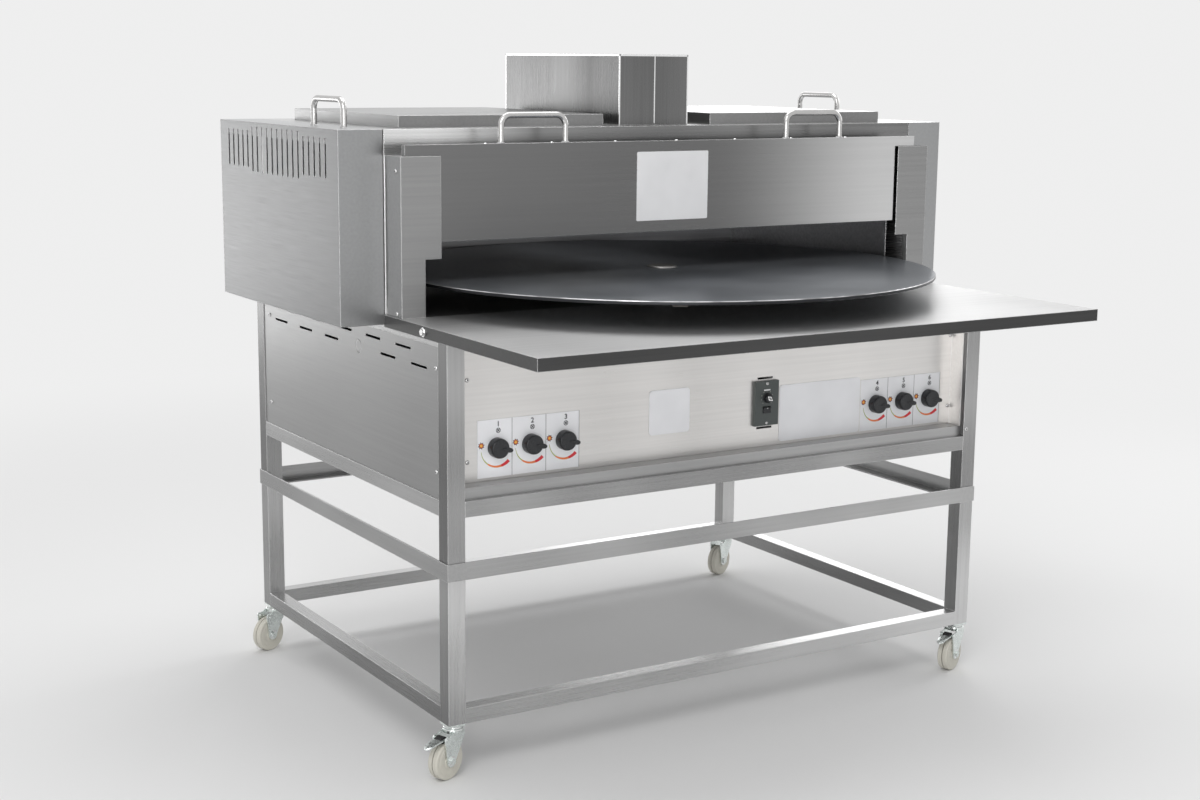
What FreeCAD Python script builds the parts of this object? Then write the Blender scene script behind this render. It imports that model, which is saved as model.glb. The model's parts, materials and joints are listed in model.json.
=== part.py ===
import FreeCAD, Part
import math
import os

# Rotating-plate tandoor oven on a wheeled stand.
# Origin: centre of the footprint on the floor. +X right, +Y to the back, +Z up. Millimetres.

V = FreeCAD.Vector
SAME_PLACE = 1e-6
X_AXIS = V(1, 0, 0)
Y_AXIS = V(0, 1, 0)
Z_AXIS = V(0, 0, 1)

# Frame and sheet stock
FRAME_WIDTH = 1373.0
FRAME_DEPTH = 980.0
POST = 38.0
RAIL = 32.0
TUBE_WALL = 1.5
SHEET = 1.5
PANEL_SHEET = 1.2
FIT_GAP = 0.3
RUN_GAP = 0.05

# Wheeled stand
STAND_POST_LENGTH = 297.0
RIM_LEG = 35.0
RIM_THICK = 3.0
RIM_CORNER_RADIUS = 2.5

# Oven base
BASE_POST_LENGTH = 488.5
LOWER_RAIL_RISE = 122.0
PAN_RISE = 23.0
PAN_SETBACK = 12.0
SIDE_PANEL_RECESS = 2.0
REAR_PANEL_RECESS = 6.0
VENT_LENGTH = 72.0
VENT_HEIGHT = 5.0
VENT_FIRST = 125.0
VENT_LAST = 145.0
VENT_TOP_DROP = 20.0
VENT_ROW_GAP = 29.0
VENT_LOWER_COUNT = 6
KNOCKOUT_INDEX = 2
KNOCKOUT_RADIUS = 14.0
KNOCKOUT_GROOVE = 1.2
KNOCKOUT_DEPTH = 0.6

# Control panel
CONTROL_SETBACK = 50.0
KNOB_PLATE_WIDTH = 78.0
KNOB_PLATE_HEIGHT = 117.0
KNOB_PLATE_LIFT = 6.5
KNOB_GROUP_LEFT_INSET = 53.5
KNOB_GROUP_RIGHT_INSET = 35.5
KNOBS_PER_GROUP = 3
STEM_ASIDE = 3.5
STEM_ABOVE = 1.5
PLATE_THICK = 1.0
KNOB_RADIUS = 20.0
KNOB_DEPTH = 20.0
KNOB_EDGE = 2.5
KNOB_NIB_REACH = 27.0
KNOB_NIB_WIDTH = 8.0
KNOB_NIB_PROUD = 1.0
KNOB_POINT_BELOW = 12.0
STEM_RADIUS = 4.0
STEM_HOLE_GAP = 1.0
STEM_ENTRY = 14.0
STEM_END_ROOM = 1.0
INFO_PLATE_WIDTH = 226.0
INFO_PLATE_HEIGHT = 125.0
INFO_PLATE_GAP = 3.0
INFO_CORNER = 8.0
LABEL_WIDTH = 102.0
LABEL_HEIGHT = 95.0
LABEL_GAP = 171.0
LABEL_LIFT = 53.0
SPEED_BOX_WIDTH = 63.0
SPEED_BOX_HEIGHT = 98.0
SPEED_BOX_PROUD = 8.0
SPEED_BOX_GAP = 8.0
SPEED_BOX_LIFT = 96.5
SPEED_SLOT_GAP = 3.5
SPEED_SLOT_LENGTH = 41.0
SPEED_SLOT_HEIGHT = 4.0
SPEED_BODY_DEPTH = 45.0
SPEED_BODY_MARGIN = 7.0
DIAL_RADIUS = 10.0
DIAL_DEPTH = 10.0
DIAL_RISE = 12.0
DIAL_RIB = 2.0
ROCKER_WIDTH = 20.0
ROCKER_HEIGHT = 13.0
ROCKER_DROP = 14.0
ROCKER_PROUD = 3.0
ROCKER_DISH = 2.0
ROCKER_DEPTH = 5.0
ROCKER_KEEL = 1.0
ROCKER_HEEL_HEIGHT = 6.5
ROCKER_ROOM = 1.0
ROCKER_POCKET_DEPTH = 10.0
ROCKER_TILT = 8.0

# Screws and bolts
SCREW_RADIUS = 4.5
SCREW_TOP_RADIUS = 2.7
SCREW_HEAD = 2.4
BOLT_ACROSS_FLATS = 13.0
BOLT_HEAD = 5.5
PANEL_SCREW_INSET = 12.0
PANEL_SCREW_REAR_INSET = 36.0
PANEL_SCREW_LOW = 53.0
PANEL_SCREW_TOP = 43.5
CONTROL_SCREW_LEFT_INSET = 31.5
CONTROL_SCREW_RIGHT_INSET = 7.5
CONTROL_SCREW_LOW = 42.0
CONTROL_SCREW_TOP = 72.5
SHELF_BOLT_BACK = 97.0
POST_SCREW_INSET = 7.5
POST_SCREW_RISE = 16.5

# Shelf
SHELF_MARGIN = 44.0
SHELF_FLANGE = 25.0

# Upper oven
BODY_FRONT = 275.5
BODY_REAR_INSET = 52.0
BODY_HEIGHT = 372.5
SKIN_INSET = 2.0
SIDE_BOARD = 53.5
BACK_BOARD = 21.0
TOP_BOARD = 89.5
MOUTH_LAP = 50.0
BACK_SEAM_GAP = 0.6
FLUE_SIDE_INSET = 15.0
FLUE_END_INSET = 16.0
LEDGE_WIDTH = 18.0
LEDGE_THICK = 3.0
LEDGE_INSET = 30.0

# Side covers
COVER_WIDTH = 99.0
COVER_DROP = 20.0
LOUVRE_COUNT = 20
LOUVRE_OUTER_COUNT = 5
LOUVRE_WIDTH = 9.0
LOUVRE_FIRST = 62.0
LOUVRE_LAST = 52.8
LOUVRE_SHORT = 80.0
LOUVRE_LONG = 98.0
LOUVRE_DROP = 58.5

# Handles
ROD_RADIUS = 6.35
HANDLE_SPAN = 152.0
HANDLE_RISE = 56.5
HANDLE_BEND = 22.0
COVER_HANDLE_LEFT_Y = 156.5
COVER_HANDLE_RIGHT_Y = 406.5

# Door and its guides
GUIDE_DEPTH = 73.5
GUIDE_TOP_DROP = 51.0
GUIDE_INSET = 3.5
GUIDE_FLANGE = 89.0
GUIDE_FOOT_FLANGE = 53.0
GUIDE_NOTCH_HEIGHT = 116.0
GUIDE_SCREW_BACK = 22.0
GUIDE_SCREW_LOW = 7.0
GUIDE_SCREW_TOP = 29.5
DOOR_GAP = 2.5
DOOR_THICK = 14.0
DOOR_SIDE_ROOM = 82.0
DOOR_TAB_ROOM = 25.0
DOOR_DROP = 171.5
DOOR_TAB_HEIGHT = 22.5
DOOR_SHIFT = -14.0
DOOR_HANDLE_INSET = 238.5

# Lids and chimney
LID_HEIGHT = 25.0
LID_CHIMNEY_GAP = 51.0
LID_SIDE_INSET = 54.5
LID_FRONT_INSET = 46.0
LID_REAR_INSET = 63.5
LID_OVERLAP = 30.0
CHIMNEY_WIDTH = 180.0
CHIMNEY_FRONT_INSET = 62.5
CHIMNEY_REAR_INSET = 78.0
CHIMNEY_HEIGHT = 152.5

# Turning plate and its drive
PLATE_SIDE_GAP = 28.0
PLATE_THICKNESS = 8.0
PLATE_EDGE = 2.0
PLATE_BACK_GAP = 10.0
PLATE_RISE = 54.0
CAP_RADIUS = 34.0
CAP_THICK = 3.0
CAP_TAPER = 1.5
SPINDLE_RADIUS = 17.5
SPINDLE_ENTRY = 60.0
HUB_RADIUS = 80.0
HUB_THICK = 10.0
ARM_COUNT = 6
ARM_WIDTH = 30.0
ARM_THICK = 8.0
ARM_REACH = 560.0
FLOOR_HOLE_RADIUS = 40.0
BRIDGE_HALF_GAP = 75.0
BEARING_PLATE_X = 240.0
BEARING_PLATE_Y = 214.0
BEARING_PLATE_THICK = 8.0
BEARING_RADIUS = 45.0
BEARING_HEIGHT = 24.0
PILLAR_RADIUS = 8.0
PILLAR_LENGTH = 90.0
PILLAR_INSET = 18.0
GEARBOX_X = 130.0
GEARBOX_Y = 150.0
GEARBOX_Z = 120.0
MOTOR_RADIUS = 55.0
MOTOR_LENGTH = 200.0
TERMINAL_BOX = 60.0
TERMINAL_RISE = 30.0

# Gas parts
VALVE_RADIUS = 14.0
VALVE_LENGTH = 44.0
MANIFOLD_RADIUS = 11.0
MANIFOLD_OVERHANG = 30.0
INLET_X = 300.0
INLET_DROP = 101.5
INLET_THREAD_RADIUS = 10.5
INLET_THREAD_LENGTH = 20.0
PIPE_RADIUS = 4.0
ELBOW_RADIUS = 5.5
PIPE_RISE = 48.0
PIPE_LEVEL_STEP = 30.0
PIPE_TURN_GAP = 12.5
PIPE_WALL_GAP = 12.5
PIPE_COVER_GAP = 4.5
NOZZLE_OFFSET = 40.0
NOZZLE_LENGTH = 7.0
NOZZLE_GAP = 2.0
BURNER_RADIUS = 13.5
BURNER_BORE = 11.5
BURNER_INNER_X = 60.0
BURNER_BELL_LENGTH = 28.0
BURNER_BELL_RADIUS = 22.0
BURNER_HOLE_GAP = 1.0
TOP_BURNER_DROP = 40.0
FRONT_BURNER_INSET = 64.5
REAR_BURNER_INSET = 54.0
BOTTOM_BURNER_INSET = 324.5
BOTTOM_BURNER_DROP = 27.0

# Power inlet
INLET_PLATE_WIDTH = 48.0
INLET_PLATE_HEIGHT = 28.0
INLET_PLATE_THICK = 2.0
INLET_BODY_WIDTH = 28.0
INLET_BODY_HEIGHT = 20.0
INLET_BODY_DEPTH = 24.0
INLET_PLATE_X = -420.0
INLET_PLATE_RISE = 90.0

# Casters
WHEEL_RADIUS = 40.0
WHEEL_WIDTH = 25.0
WHEEL_HUB_WIDTH = 28.0
WHEEL_HUB_RADIUS = 13.0
WHEEL_GROOVE = 2.0
WHEEL_GROOVE_DEPTH = 3.0
WHEEL_EDGE = 4.0
TRAIL = 24.0
TRAIL_ANGLE = 22.0
FORK_SIDE_GAP = 0.5
FORK_SHEET = 3.0
FORK_HEAD_RADIUS = 21.0
FORK_WHEEL_GAP = 13.0
FORK_HEAD_THICK = 8.0
FORK_NECK_HALF = 14.5
FORK_NECK_DROP = 9.0
FORK_EYE_RADIUS = 12.5
RACE_RADIUS = 19.0
RACE_HEIGHT = 4.7
MOUNT_PLATE_THICK = 4.0
KINGPIN_RADIUS = 6.0
KINGPIN_NUT_RADIUS = 10.0
KINGPIN_NUT_HEIGHT = 4.0
AXLE_RADIUS = 4.0
AXLE_HEX = 13.0
AXLE_HEAD = 5.0
PEDAL_PIVOT_BACK = 12.0
PEDAL_WHEEL_GAP = 6.0
PEDAL_PIN_RADIUS = 2.5
PEDAL_EYE_RADIUS = 6.5
PEDAL_SIDE_GAP = 2.0
PEDAL_THICK = 3.0
PEDAL_LENGTH = 48.0
PEDAL_SLOPE = 14.0

# Sizes that follow from the ones above
HALF_WIDTH = FRAME_WIDTH / 2
POST_INNER = HALF_WIDTH - POST
SKIN_X = HALF_WIDTH - SKIN_INSET
GUIDE_X = HALF_WIDTH - GUIDE_INSET
WALL_OUTER = SKIN_X - SHEET - SIDE_BOARD
CAVITY_HALF_WIDTH = WALL_OUTER - SHEET
PLATE_RADIUS = CAVITY_HALF_WIDTH - PLATE_SIDE_GAP
DOOR_HALF_WIDTH = GUIDE_X - DOOR_SIDE_ROOM
DOOR_TAB_HALF_WIDTH = GUIDE_X - DOOR_TAB_ROOM
BODY_DEPTH = FRAME_DEPTH - BODY_FRONT - BODY_REAR_INSET
CAVITY_BACK = BODY_FRONT + BODY_DEPTH - SHEET - BACK_BOARD - SHEET
CAVITY_HEIGHT = BODY_HEIGHT - SHEET - TOP_BOARD - SHEET
PLATE_CENTRE = CAVITY_BACK - PLATE_BACK_GAP - PLATE_RADIUS
SHELF_REACH = PLATE_RADIUS - PLATE_CENTRE + SHELF_MARGIN
GUIDE_HEIGHT = BODY_HEIGHT - GUIDE_TOP_DROP
MOUTH_HEIGHT = GUIDE_HEIGHT - DOOR_DROP + MOUTH_LAP
FORK_HEAD_BOTTOM = 2 * WHEEL_RADIUS + FORK_WHEEL_GAP
FORK_HEAD_TOP = FORK_HEAD_BOTTOM + FORK_HEAD_THICK
CASTER_HEIGHT = FORK_HEAD_TOP + FIT_GAP + RACE_HEIGHT + MOUNT_PLATE_THICK
FORK_INNER_HALF = WHEEL_HUB_WIDTH / 2 + FORK_SIDE_GAP
PEDAL_PIVOT_X = -TRAIL - PEDAL_PIVOT_BACK
PEDAL_PIVOT_Z = 2 * WHEEL_RADIUS + PEDAL_WHEEL_GAP

# Places that follow from the sizes
Y_FRONT = SHELF_REACH - (SHELF_REACH + FRAME_DEPTH + RIM_THICK) / 2
Y_REAR = Y_FRONT + FRAME_DEPTH
Y_SHELF = Y_FRONT - SHELF_REACH
Y_PLATE = Y_FRONT + PLATE_CENTRE
Y_CONTROL = Y_FRONT + CONTROL_SETBACK
Y_BODY = Y_FRONT + BODY_FRONT
Y_BODY_REAR = Y_BODY + BODY_DEPTH
Y_CAVITY_BACK = Y_FRONT + CAVITY_BACK
Y_GUIDE = Y_BODY - GUIDE_DEPTH
Y_DOOR = Y_GUIDE + SHEET + DOOR_GAP
Z_RIM = CASTER_HEIGHT + STAND_POST_LENGTH
Z_FEET = Z_RIM + RIM_THICK
Z_LOWER_RAIL = Z_FEET + LOWER_RAIL_RISE
Z_RAIL_TOP = Z_LOWER_RAIL + RAIL
Z_PAN = Z_RAIL_TOP + PAN_RISE
Z_POST_TOP = Z_FEET + BASE_POST_LENGTH
Z_UPPER_RAIL = Z_POST_TOP - RAIL
Z_SHELF = Z_POST_TOP + SHEET
Z_DECK = Z_SHELF + BODY_HEIGHT
Z_CEILING = Z_SHELF + CAVITY_HEIGHT
Z_GUIDE_TOP = Z_SHELF + GUIDE_HEIGHT
Z_PLATE = Z_SHELF + PLATE_RISE
Z_KNOB_PLATE = Z_PAN + KNOB_PLATE_LIFT
Z_KNOB = Z_KNOB_PLATE + KNOB_PLATE_HEIGHT / 2 + STEM_ABOVE
Z_SPEED = Z_PAN + SPEED_BOX_LIFT
Z_ROCKER = Z_SPEED - ROCKER_DROP
Z_BRIDGE_PLATE = Z_UPPER_RAIL - BEARING_PLATE_THICK
Z_MOTOR_PLATE = Z_BRIDGE_PLATE - PILLAR_LENGTH
Y_VALVE = Y_CONTROL + SHEET
Y_MANIFOLD = Y_VALVE + VALVE_LENGTH + MANIFOLD_RADIUS
X_LEFT_KNOBS = -POST_INNER + KNOB_GROUP_LEFT_INSET
X_RIGHT_KNOBS = POST_INNER - KNOB_GROUP_RIGHT_INSET - KNOBS_PER_GROUP * KNOB_PLATE_WIDTH
X_INFO_PLATE = X_RIGHT_KNOBS - INFO_PLATE_GAP - INFO_PLATE_WIDTH
X_SPEED = X_INFO_PLATE - SPEED_BOX_GAP - SPEED_BOX_WIDTH / 2
X_LABEL = X_LEFT_KNOBS + KNOBS_PER_GROUP * KNOB_PLATE_WIDTH + LABEL_GAP
X_PIPE_RISER = WALL_OUTER + PIPE_WALL_GAP
X_PIPE_OUTER = SKIN_X + COVER_WIDTH - SHEET - PIPE_COVER_GAP - ELBOW_RADIUS
X_BURNER_BELL = X_PIPE_OUTER - NOZZLE_LENGTH - NOZZLE_GAP - BURNER_BELL_LENGTH


def box(x0, x1, y0, y1, z0, z1):
    return Part.makeBox(x1 - x0, y1 - y0, z1 - z0, V(x0, y0, z0))


def rod(start, direction, radius, length):
    return Part.makeCylinder(radius, length, start, direction)


def mirror_x(shape):
    return shape.mirror(V(0, 0, 0), X_AXIS)


def fuse(shapes):
    return shapes[0].multiFuse(shapes[1:]).removeSplitter()


def square_tube(x0, x1, y0, y1, z0, z1, along):
    wall = {axis: TUBE_WALL for axis in "xyz"}
    wall[along] = 0.0
    inner = box(x0 + wall["x"], x1 - wall["x"], y0 + wall["y"], y1 - wall["y"],
                z0 + wall["z"], z1 - wall["z"])
    return box(x0, x1, y0, y1, z0, z1).cut(inner)


def prism(points, normal_from, normal_to, plane):
    """Closed outline in the XZ, YZ or XY plane, drawn out between two places on the third axis."""
    if plane == "xz":
        corners = [V(a, normal_from, b) for a, b in points]
        reach = V(0, normal_to - normal_from, 0)
    elif plane == "yz":
        corners = [V(normal_from, a, b) for a, b in points]
        reach = V(normal_to - normal_from, 0, 0)
    else:
        corners = [V(a, b, normal_from) for a, b in points]
        reach = V(0, 0, normal_to - normal_from)
    wire = Part.makePolygon(corners + [corners[0]])
    return Part.Face(wire).extrude(reach)


def hexagon(centre, direction, across, height):
    radius = across / math.sqrt(3)
    side = V(0, 0, 1) if abs(direction.z) < 0.5 else V(1, 0, 0)
    other = direction.cross(side)
    turns = [math.radians(60 * i) for i in range(6)]
    corners = [centre + side * (radius * math.cos(a)) + other * (radius * math.sin(a)) for a in turns]
    return Part.Face(Part.makePolygon(corners + [corners[0]])).extrude(direction * height)


def slot_opening(x0, x1, y, z, width, height):
    """Round-ended opening through a sheet that faces along X."""
    radius = min(width, height) / 2
    reach = max(width, height) / 2 - radius
    if height > width:
        middle = box(x0, x1, y - radius, y + radius, z - reach, z + reach)
        step = V(0, 0, reach)
    else:
        middle = box(x0, x1, y - reach, y + reach, z - radius, z + radius)
        step = V(0, reach, 0)
    ends = [rod(V(x0, y, z) + step * sign, X_AXIS, radius, x1 - x0) for sign in (-1, 1)]
    return fuse([middle] + ends)


def save(node, shapes):
    solids = []
    for shape in shapes:
        solids += shape.Solids
    for solid in solids:
        if not (solid.isValid() and solid.isClosed()):
            print("not closed:", node)
    whole = solids[0] if len(solids) == 1 else Part.Compound(solids)
    whole.exportStep("parts/" + node + ".step")


def four_corners(x_outer, y_front, y_rear, size, z0, z1):
    posts = []
    for x0 in (-x_outer, x_outer - size):
        for y0 in (y_front, y_rear - size):
            posts.append(square_tube(x0, x0 + size, y0, y0 + size, z0, z1, "z"))
    return posts


def rail_ring(z0):
    """Four rails between the posts, flush with the posts' outer faces."""
    z1 = z0 + RAIL
    front = square_tube(-POST_INNER, POST_INNER, Y_FRONT, Y_FRONT + RAIL, z0, z1, "x")
    rear = square_tube(-POST_INNER, POST_INNER, Y_REAR - RAIL, Y_REAR, z0, z1, "x")
    left = square_tube(-HALF_WIDTH, -HALF_WIDTH + RAIL, Y_FRONT + POST, Y_REAR - POST, z0, z1, "y")
    return [front, rear, left, mirror_x(left)]


# Wheeled stand

def stand_frame():
    posts = four_corners(HALF_WIDTH, Y_FRONT, Y_REAR, POST, CASTER_HEIGHT, Z_RIM)
    return posts + rail_ring(CASTER_HEIGHT)


def stand_rim():
    """Angle ring with its upright leg outside the posts and its flat leg under the oven's feet."""
    x1 = HALF_WIDTH + RIM_THICK
    y0 = Y_FRONT - RIM_THICK
    y1 = Y_REAR + RIM_THICK
    outer = box(-x1, x1, y0, y1, Z_RIM, Z_RIM + RIM_LEG)
    corners = [e for e in outer.Edges if abs(e.tangentAt(e.FirstParameter).z) > 0.5]
    outer = outer.makeFillet(RIM_CORNER_RADIUS, corners)
    above_flat = box(-HALF_WIDTH, HALF_WIDTH, Y_FRONT, Y_REAR, Z_FEET, Z_RIM + RIM_LEG)
    reach = RIM_LEG - RIM_THICK
    middle = box(-HALF_WIDTH + reach, HALF_WIDTH - reach, Y_FRONT + reach, Y_REAR - reach, Z_RIM, Z_FEET)
    return outer.cut(above_flat).cut(middle)


# Oven base

def base_pan():
    y0 = Y_FRONT + PAN_SETBACK
    y1 = Y_REAR - PAN_SETBACK
    outer = box(-POST_INNER, POST_INNER, y0, y1, Z_RAIL_TOP, Z_PAN)
    inner = box(-POST_INNER, POST_INNER, y0 + SHEET, y1 - SHEET, Z_RAIL_TOP, Z_PAN - SHEET)
    drop = rod(V(INLET_X, Y_MANIFOLD, Z_RAIL_TOP), Z_AXIS, MANIFOLD_RADIUS + STEM_HOLE_GAP, PAN_RISE)
    return outer.cut(inner).cut(drop)


def side_panel():
    """Left panel between the posts, with two staggered rows of vents and one blanked round hole."""
    x0 = -HALF_WIDTH + SIDE_PANEL_RECESS
    panel = box(x0, x0 + PANEL_SHEET, Y_FRONT + POST, Y_REAR - POST, Z_RAIL_TOP, Z_UPPER_RAIL)
    z_upper = Z_UPPER_RAIL - VENT_TOP_DROP
    z_lower = z_upper - VENT_ROW_GAP
    pitch = (FRAME_DEPTH - VENT_FIRST - VENT_LAST) / (VENT_LOWER_COUNT - 1)
    for index in range(VENT_LOWER_COUNT):
        y = Y_FRONT + VENT_FIRST + index * pitch
        if index == KNOCKOUT_INDEX:
            groove = rod(V(x0, y, z_lower), X_AXIS, KNOCKOUT_RADIUS, KNOCKOUT_DEPTH)
            core = rod(V(x0, y, z_lower), X_AXIS, KNOCKOUT_RADIUS - KNOCKOUT_GROOVE, KNOCKOUT_DEPTH)
            panel = panel.cut(groove.cut(core))
        else:
            panel = panel.cut(vent(x0, y, z_lower))
        if index < VENT_LOWER_COUNT - 1:
            panel = panel.cut(vent(x0, y + pitch / 2, z_upper))
    return panel


def vent(x0, y, z):
    return slot_opening(x0, x0 + PANEL_SHEET, y, z, VENT_LENGTH, VENT_HEIGHT)


def rear_panel():
    y1 = Y_REAR - REAR_PANEL_RECESS
    panel = box(-POST_INNER, POST_INNER, y1 - PANEL_SHEET, y1, Z_RAIL_TOP, Z_UPPER_RAIL)
    x0 = INLET_PLATE_X - INLET_BODY_WIDTH / 2
    z0 = Z_PAN + INLET_PLATE_RISE - INLET_BODY_HEIGHT / 2
    hole = box(x0, x0 + INLET_BODY_WIDTH, y1 - PANEL_SHEET, y1, z0, z0 + INLET_BODY_HEIGHT)
    return panel.cut(hole)


def power_inlet():
    y1 = Y_REAR - REAR_PANEL_RECESS
    z = Z_PAN + INLET_PLATE_RISE
    x = INLET_PLATE_X
    plate = box(x - INLET_PLATE_WIDTH / 2, x + INLET_PLATE_WIDTH / 2, y1, y1 + INLET_PLATE_THICK,
                z - INLET_PLATE_HEIGHT / 2, z + INLET_PLATE_HEIGHT / 2)
    body = box(x - INLET_BODY_WIDTH / 2, x + INLET_BODY_WIDTH / 2, y1 - INLET_BODY_DEPTH, y1,
               z - INLET_BODY_HEIGHT / 2, z + INLET_BODY_HEIGHT / 2)
    wall = INLET_PLATE_THICK
    socket = box(x - INLET_BODY_WIDTH / 2 + wall, x + INLET_BODY_WIDTH / 2 - wall,
                 y1 - INLET_BODY_DEPTH + wall, y1 + INLET_PLATE_THICK,
                 z - INLET_BODY_HEIGHT / 2 + wall, z + INLET_BODY_HEIGHT / 2 - wall)
    return fuse([plate, body]).cut(socket)


# Control panel

def knob_plate_sides():
    """Left sides of the six knob plates, from left to right."""
    sides = []
    for start in (X_LEFT_KNOBS, X_RIGHT_KNOBS):
        for index in range(KNOBS_PER_GROUP):
            sides.append(start + index * KNOB_PLATE_WIDTH)
    return sides


def knob_places():
    """Stems of the six knobs, a little to the right of their plates' middles."""
    return [side + KNOB_PLATE_WIDTH / 2 + STEM_ASIDE for side in knob_plate_sides()]


def control_panel():
    """Set-back sheet with its top and side edges folded forward to the posts and the front rail."""
    top = Z_UPPER_RAIL
    outer = box(-POST_INNER, POST_INNER, Y_FRONT + PAN_SETBACK, Y_CONTROL + SHEET, Z_PAN, top)
    inner = box(-POST_INNER + SHEET, POST_INNER - SHEET, Y_FRONT + PAN_SETBACK, Y_CONTROL,
                Z_PAN, top - SHEET)
    panel = outer.cut(inner)
    for x in knob_places():
        panel = panel.cut(rod(V(x, Y_CONTROL, Z_KNOB), Y_AXIS, STEM_RADIUS + STEM_HOLE_GAP, SHEET))
    slot_offset = SPEED_BOX_HEIGHT / 2 + SPEED_SLOT_GAP
    for z0 in (Z_SPEED + slot_offset, Z_SPEED - slot_offset - SPEED_SLOT_HEIGHT):
        panel = panel.cut(box(X_SPEED - SPEED_SLOT_LENGTH / 2, X_SPEED + SPEED_SLOT_LENGTH / 2,
                              Y_CONTROL, Y_CONTROL + SHEET, z0, z0 + SPEED_SLOT_HEIGHT))
    return panel.cut(speed_block(SPEED_BODY_MARGIN, Y_CONTROL, Y_CONTROL + SHEET))


def speed_block(margin, y0, y1):
    """Block of the speed control's outline, drawn in by a margin."""
    half_x = SPEED_BOX_WIDTH / 2 - margin
    half_z = SPEED_BOX_HEIGHT / 2 - margin
    return box(X_SPEED - half_x, X_SPEED + half_x, y0, y1, Z_SPEED - half_z, Z_SPEED + half_z)


def knob_plates():
    plates = []
    for x0, x in zip(knob_plate_sides(), knob_places()):
        plate = box(x0, x0 + KNOB_PLATE_WIDTH, Y_CONTROL - PLATE_THICK, Y_CONTROL,
                    Z_KNOB_PLATE, Z_KNOB_PLATE + KNOB_PLATE_HEIGHT)
        hole = rod(V(x, Y_CONTROL - PLATE_THICK, Z_KNOB), Y_AXIS, STEM_RADIUS + STEM_HOLE_GAP, PLATE_THICK)
        plates.append(plate.cut(hole))
    return plates


def rounded_plate(x0, width, z0, height):
    plate = box(x0, x0 + width, Y_CONTROL - PLATE_THICK, Y_CONTROL, z0, z0 + height)
    corners = [e for e in plate.Edges if abs(e.tangentAt(e.FirstParameter).y) > 0.5]
    return plate.makeFillet(INFO_CORNER, corners)


def info_plates():
    rating = rounded_plate(X_INFO_PLATE, INFO_PLATE_WIDTH, Z_KNOB_PLATE, INFO_PLATE_HEIGHT)
    label = rounded_plate(X_LABEL, LABEL_WIDTH, Z_PAN + LABEL_LIFT, LABEL_HEIGHT)
    return [rating, label]


def knob(x):
    """Round knob with a pointer nib, on a stem that runs into the gas valve."""
    back = Y_CONTROL - PLATE_THICK - FIT_GAP
    body = rod(V(x, back, Z_KNOB), -Y_AXIS, KNOB_RADIUS, KNOB_DEPTH)
    front_rim = [e for e in body.Edges if abs(e.BoundBox.YMax - (back - KNOB_DEPTH)) < SAME_PLACE]
    body = body.makeFillet(KNOB_EDGE, front_rim)
    nib = box(x, x + KNOB_NIB_REACH, back - KNOB_DEPTH - KNOB_NIB_PROUD, back,
              Z_KNOB - KNOB_NIB_WIDTH / 2, Z_KNOB + KNOB_NIB_WIDTH / 2)
    nib.rotate(V(x, back, Z_KNOB), Y_AXIS, KNOB_POINT_BELOW)
    stem = rod(V(x, back - KNOB_DEPTH / 2, Z_KNOB), Y_AXIS, STEM_RADIUS,
               KNOB_DEPTH / 2 + FIT_GAP + PLATE_THICK + SHEET + STEM_ENTRY)
    return fuse([body, nib, stem])


def speed_box():
    """Housing of the plate's speed control: a bezel on the panel and a body behind it."""
    y0 = Y_CONTROL - SPEED_BOX_PROUD
    bezel = speed_block(0, y0, Y_CONTROL)
    body = speed_block(SPEED_BODY_MARGIN, Y_CONTROL, Y_CONTROL + SPEED_BODY_DEPTH)
    shaft = rod(V(X_SPEED, y0, Z_SPEED + DIAL_RISE), Y_AXIS, STEM_RADIUS + RUN_GAP, STEM_ENTRY)
    pocket = box(X_SPEED - ROCKER_WIDTH / 2 - FIT_GAP, X_SPEED + ROCKER_WIDTH / 2 + FIT_GAP,
                 y0, y0 + ROCKER_POCKET_DEPTH, Z_ROCKER - ROCKER_HEIGHT / 2 - ROCKER_ROOM,
                 Z_ROCKER + ROCKER_HEIGHT / 2 + ROCKER_ROOM)
    return fuse([bezel, body]).cut(shaft).cut(pocket)


def speed_dial():
    y0 = Y_CONTROL - SPEED_BOX_PROUD - FIT_GAP
    z = Z_SPEED + DIAL_RISE
    body = rod(V(X_SPEED, y0, z), -Y_AXIS, DIAL_RADIUS, DIAL_DEPTH)
    rib = box(X_SPEED - DIAL_RIB, X_SPEED + DIAL_RIB, y0 - DIAL_DEPTH - DIAL_RIB, y0,
              z - DIAL_RADIUS, z + DIAL_RADIUS)
    shaft = rod(V(X_SPEED, y0 - DIAL_DEPTH / 2, z), Y_AXIS, STEM_RADIUS,
                DIAL_DEPTH / 2 + FIT_GAP + STEM_ENTRY - STEM_END_ROOM)
    return fuse([body, rib, shaft])


def rocker():
    """Rocker in a shallow V, two faces that meet over the pivot, tilted to one of its two stops."""
    y0 = Y_CONTROL - SPEED_BOX_PROUD
    z = Z_ROCKER
    half = ROCKER_HEIGHT / 2
    heel = ROCKER_HEEL_HEIGHT / 2
    face = y0 - ROCKER_PROUD
    back = y0 + ROCKER_DEPTH
    outline = [(face, z - half), (face + ROCKER_DISH, z), (face, z + half),
               (back, z + heel), (back + ROCKER_KEEL, z), (back, z - heel)]
    x0 = X_SPEED - ROCKER_WIDTH / 2
    lever = prism(outline, x0, x0 + ROCKER_WIDTH, "yz")
    lever.rotate(V(x0, y0 + ROCKER_PROUD, z), X_AXIS, ROCKER_TILT)
    return lever


# Screws and bolts

def screw_head(place, outward):
    return Part.makeCone(SCREW_RADIUS, SCREW_TOP_RADIUS, SCREW_HEAD, place, outward)


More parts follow.
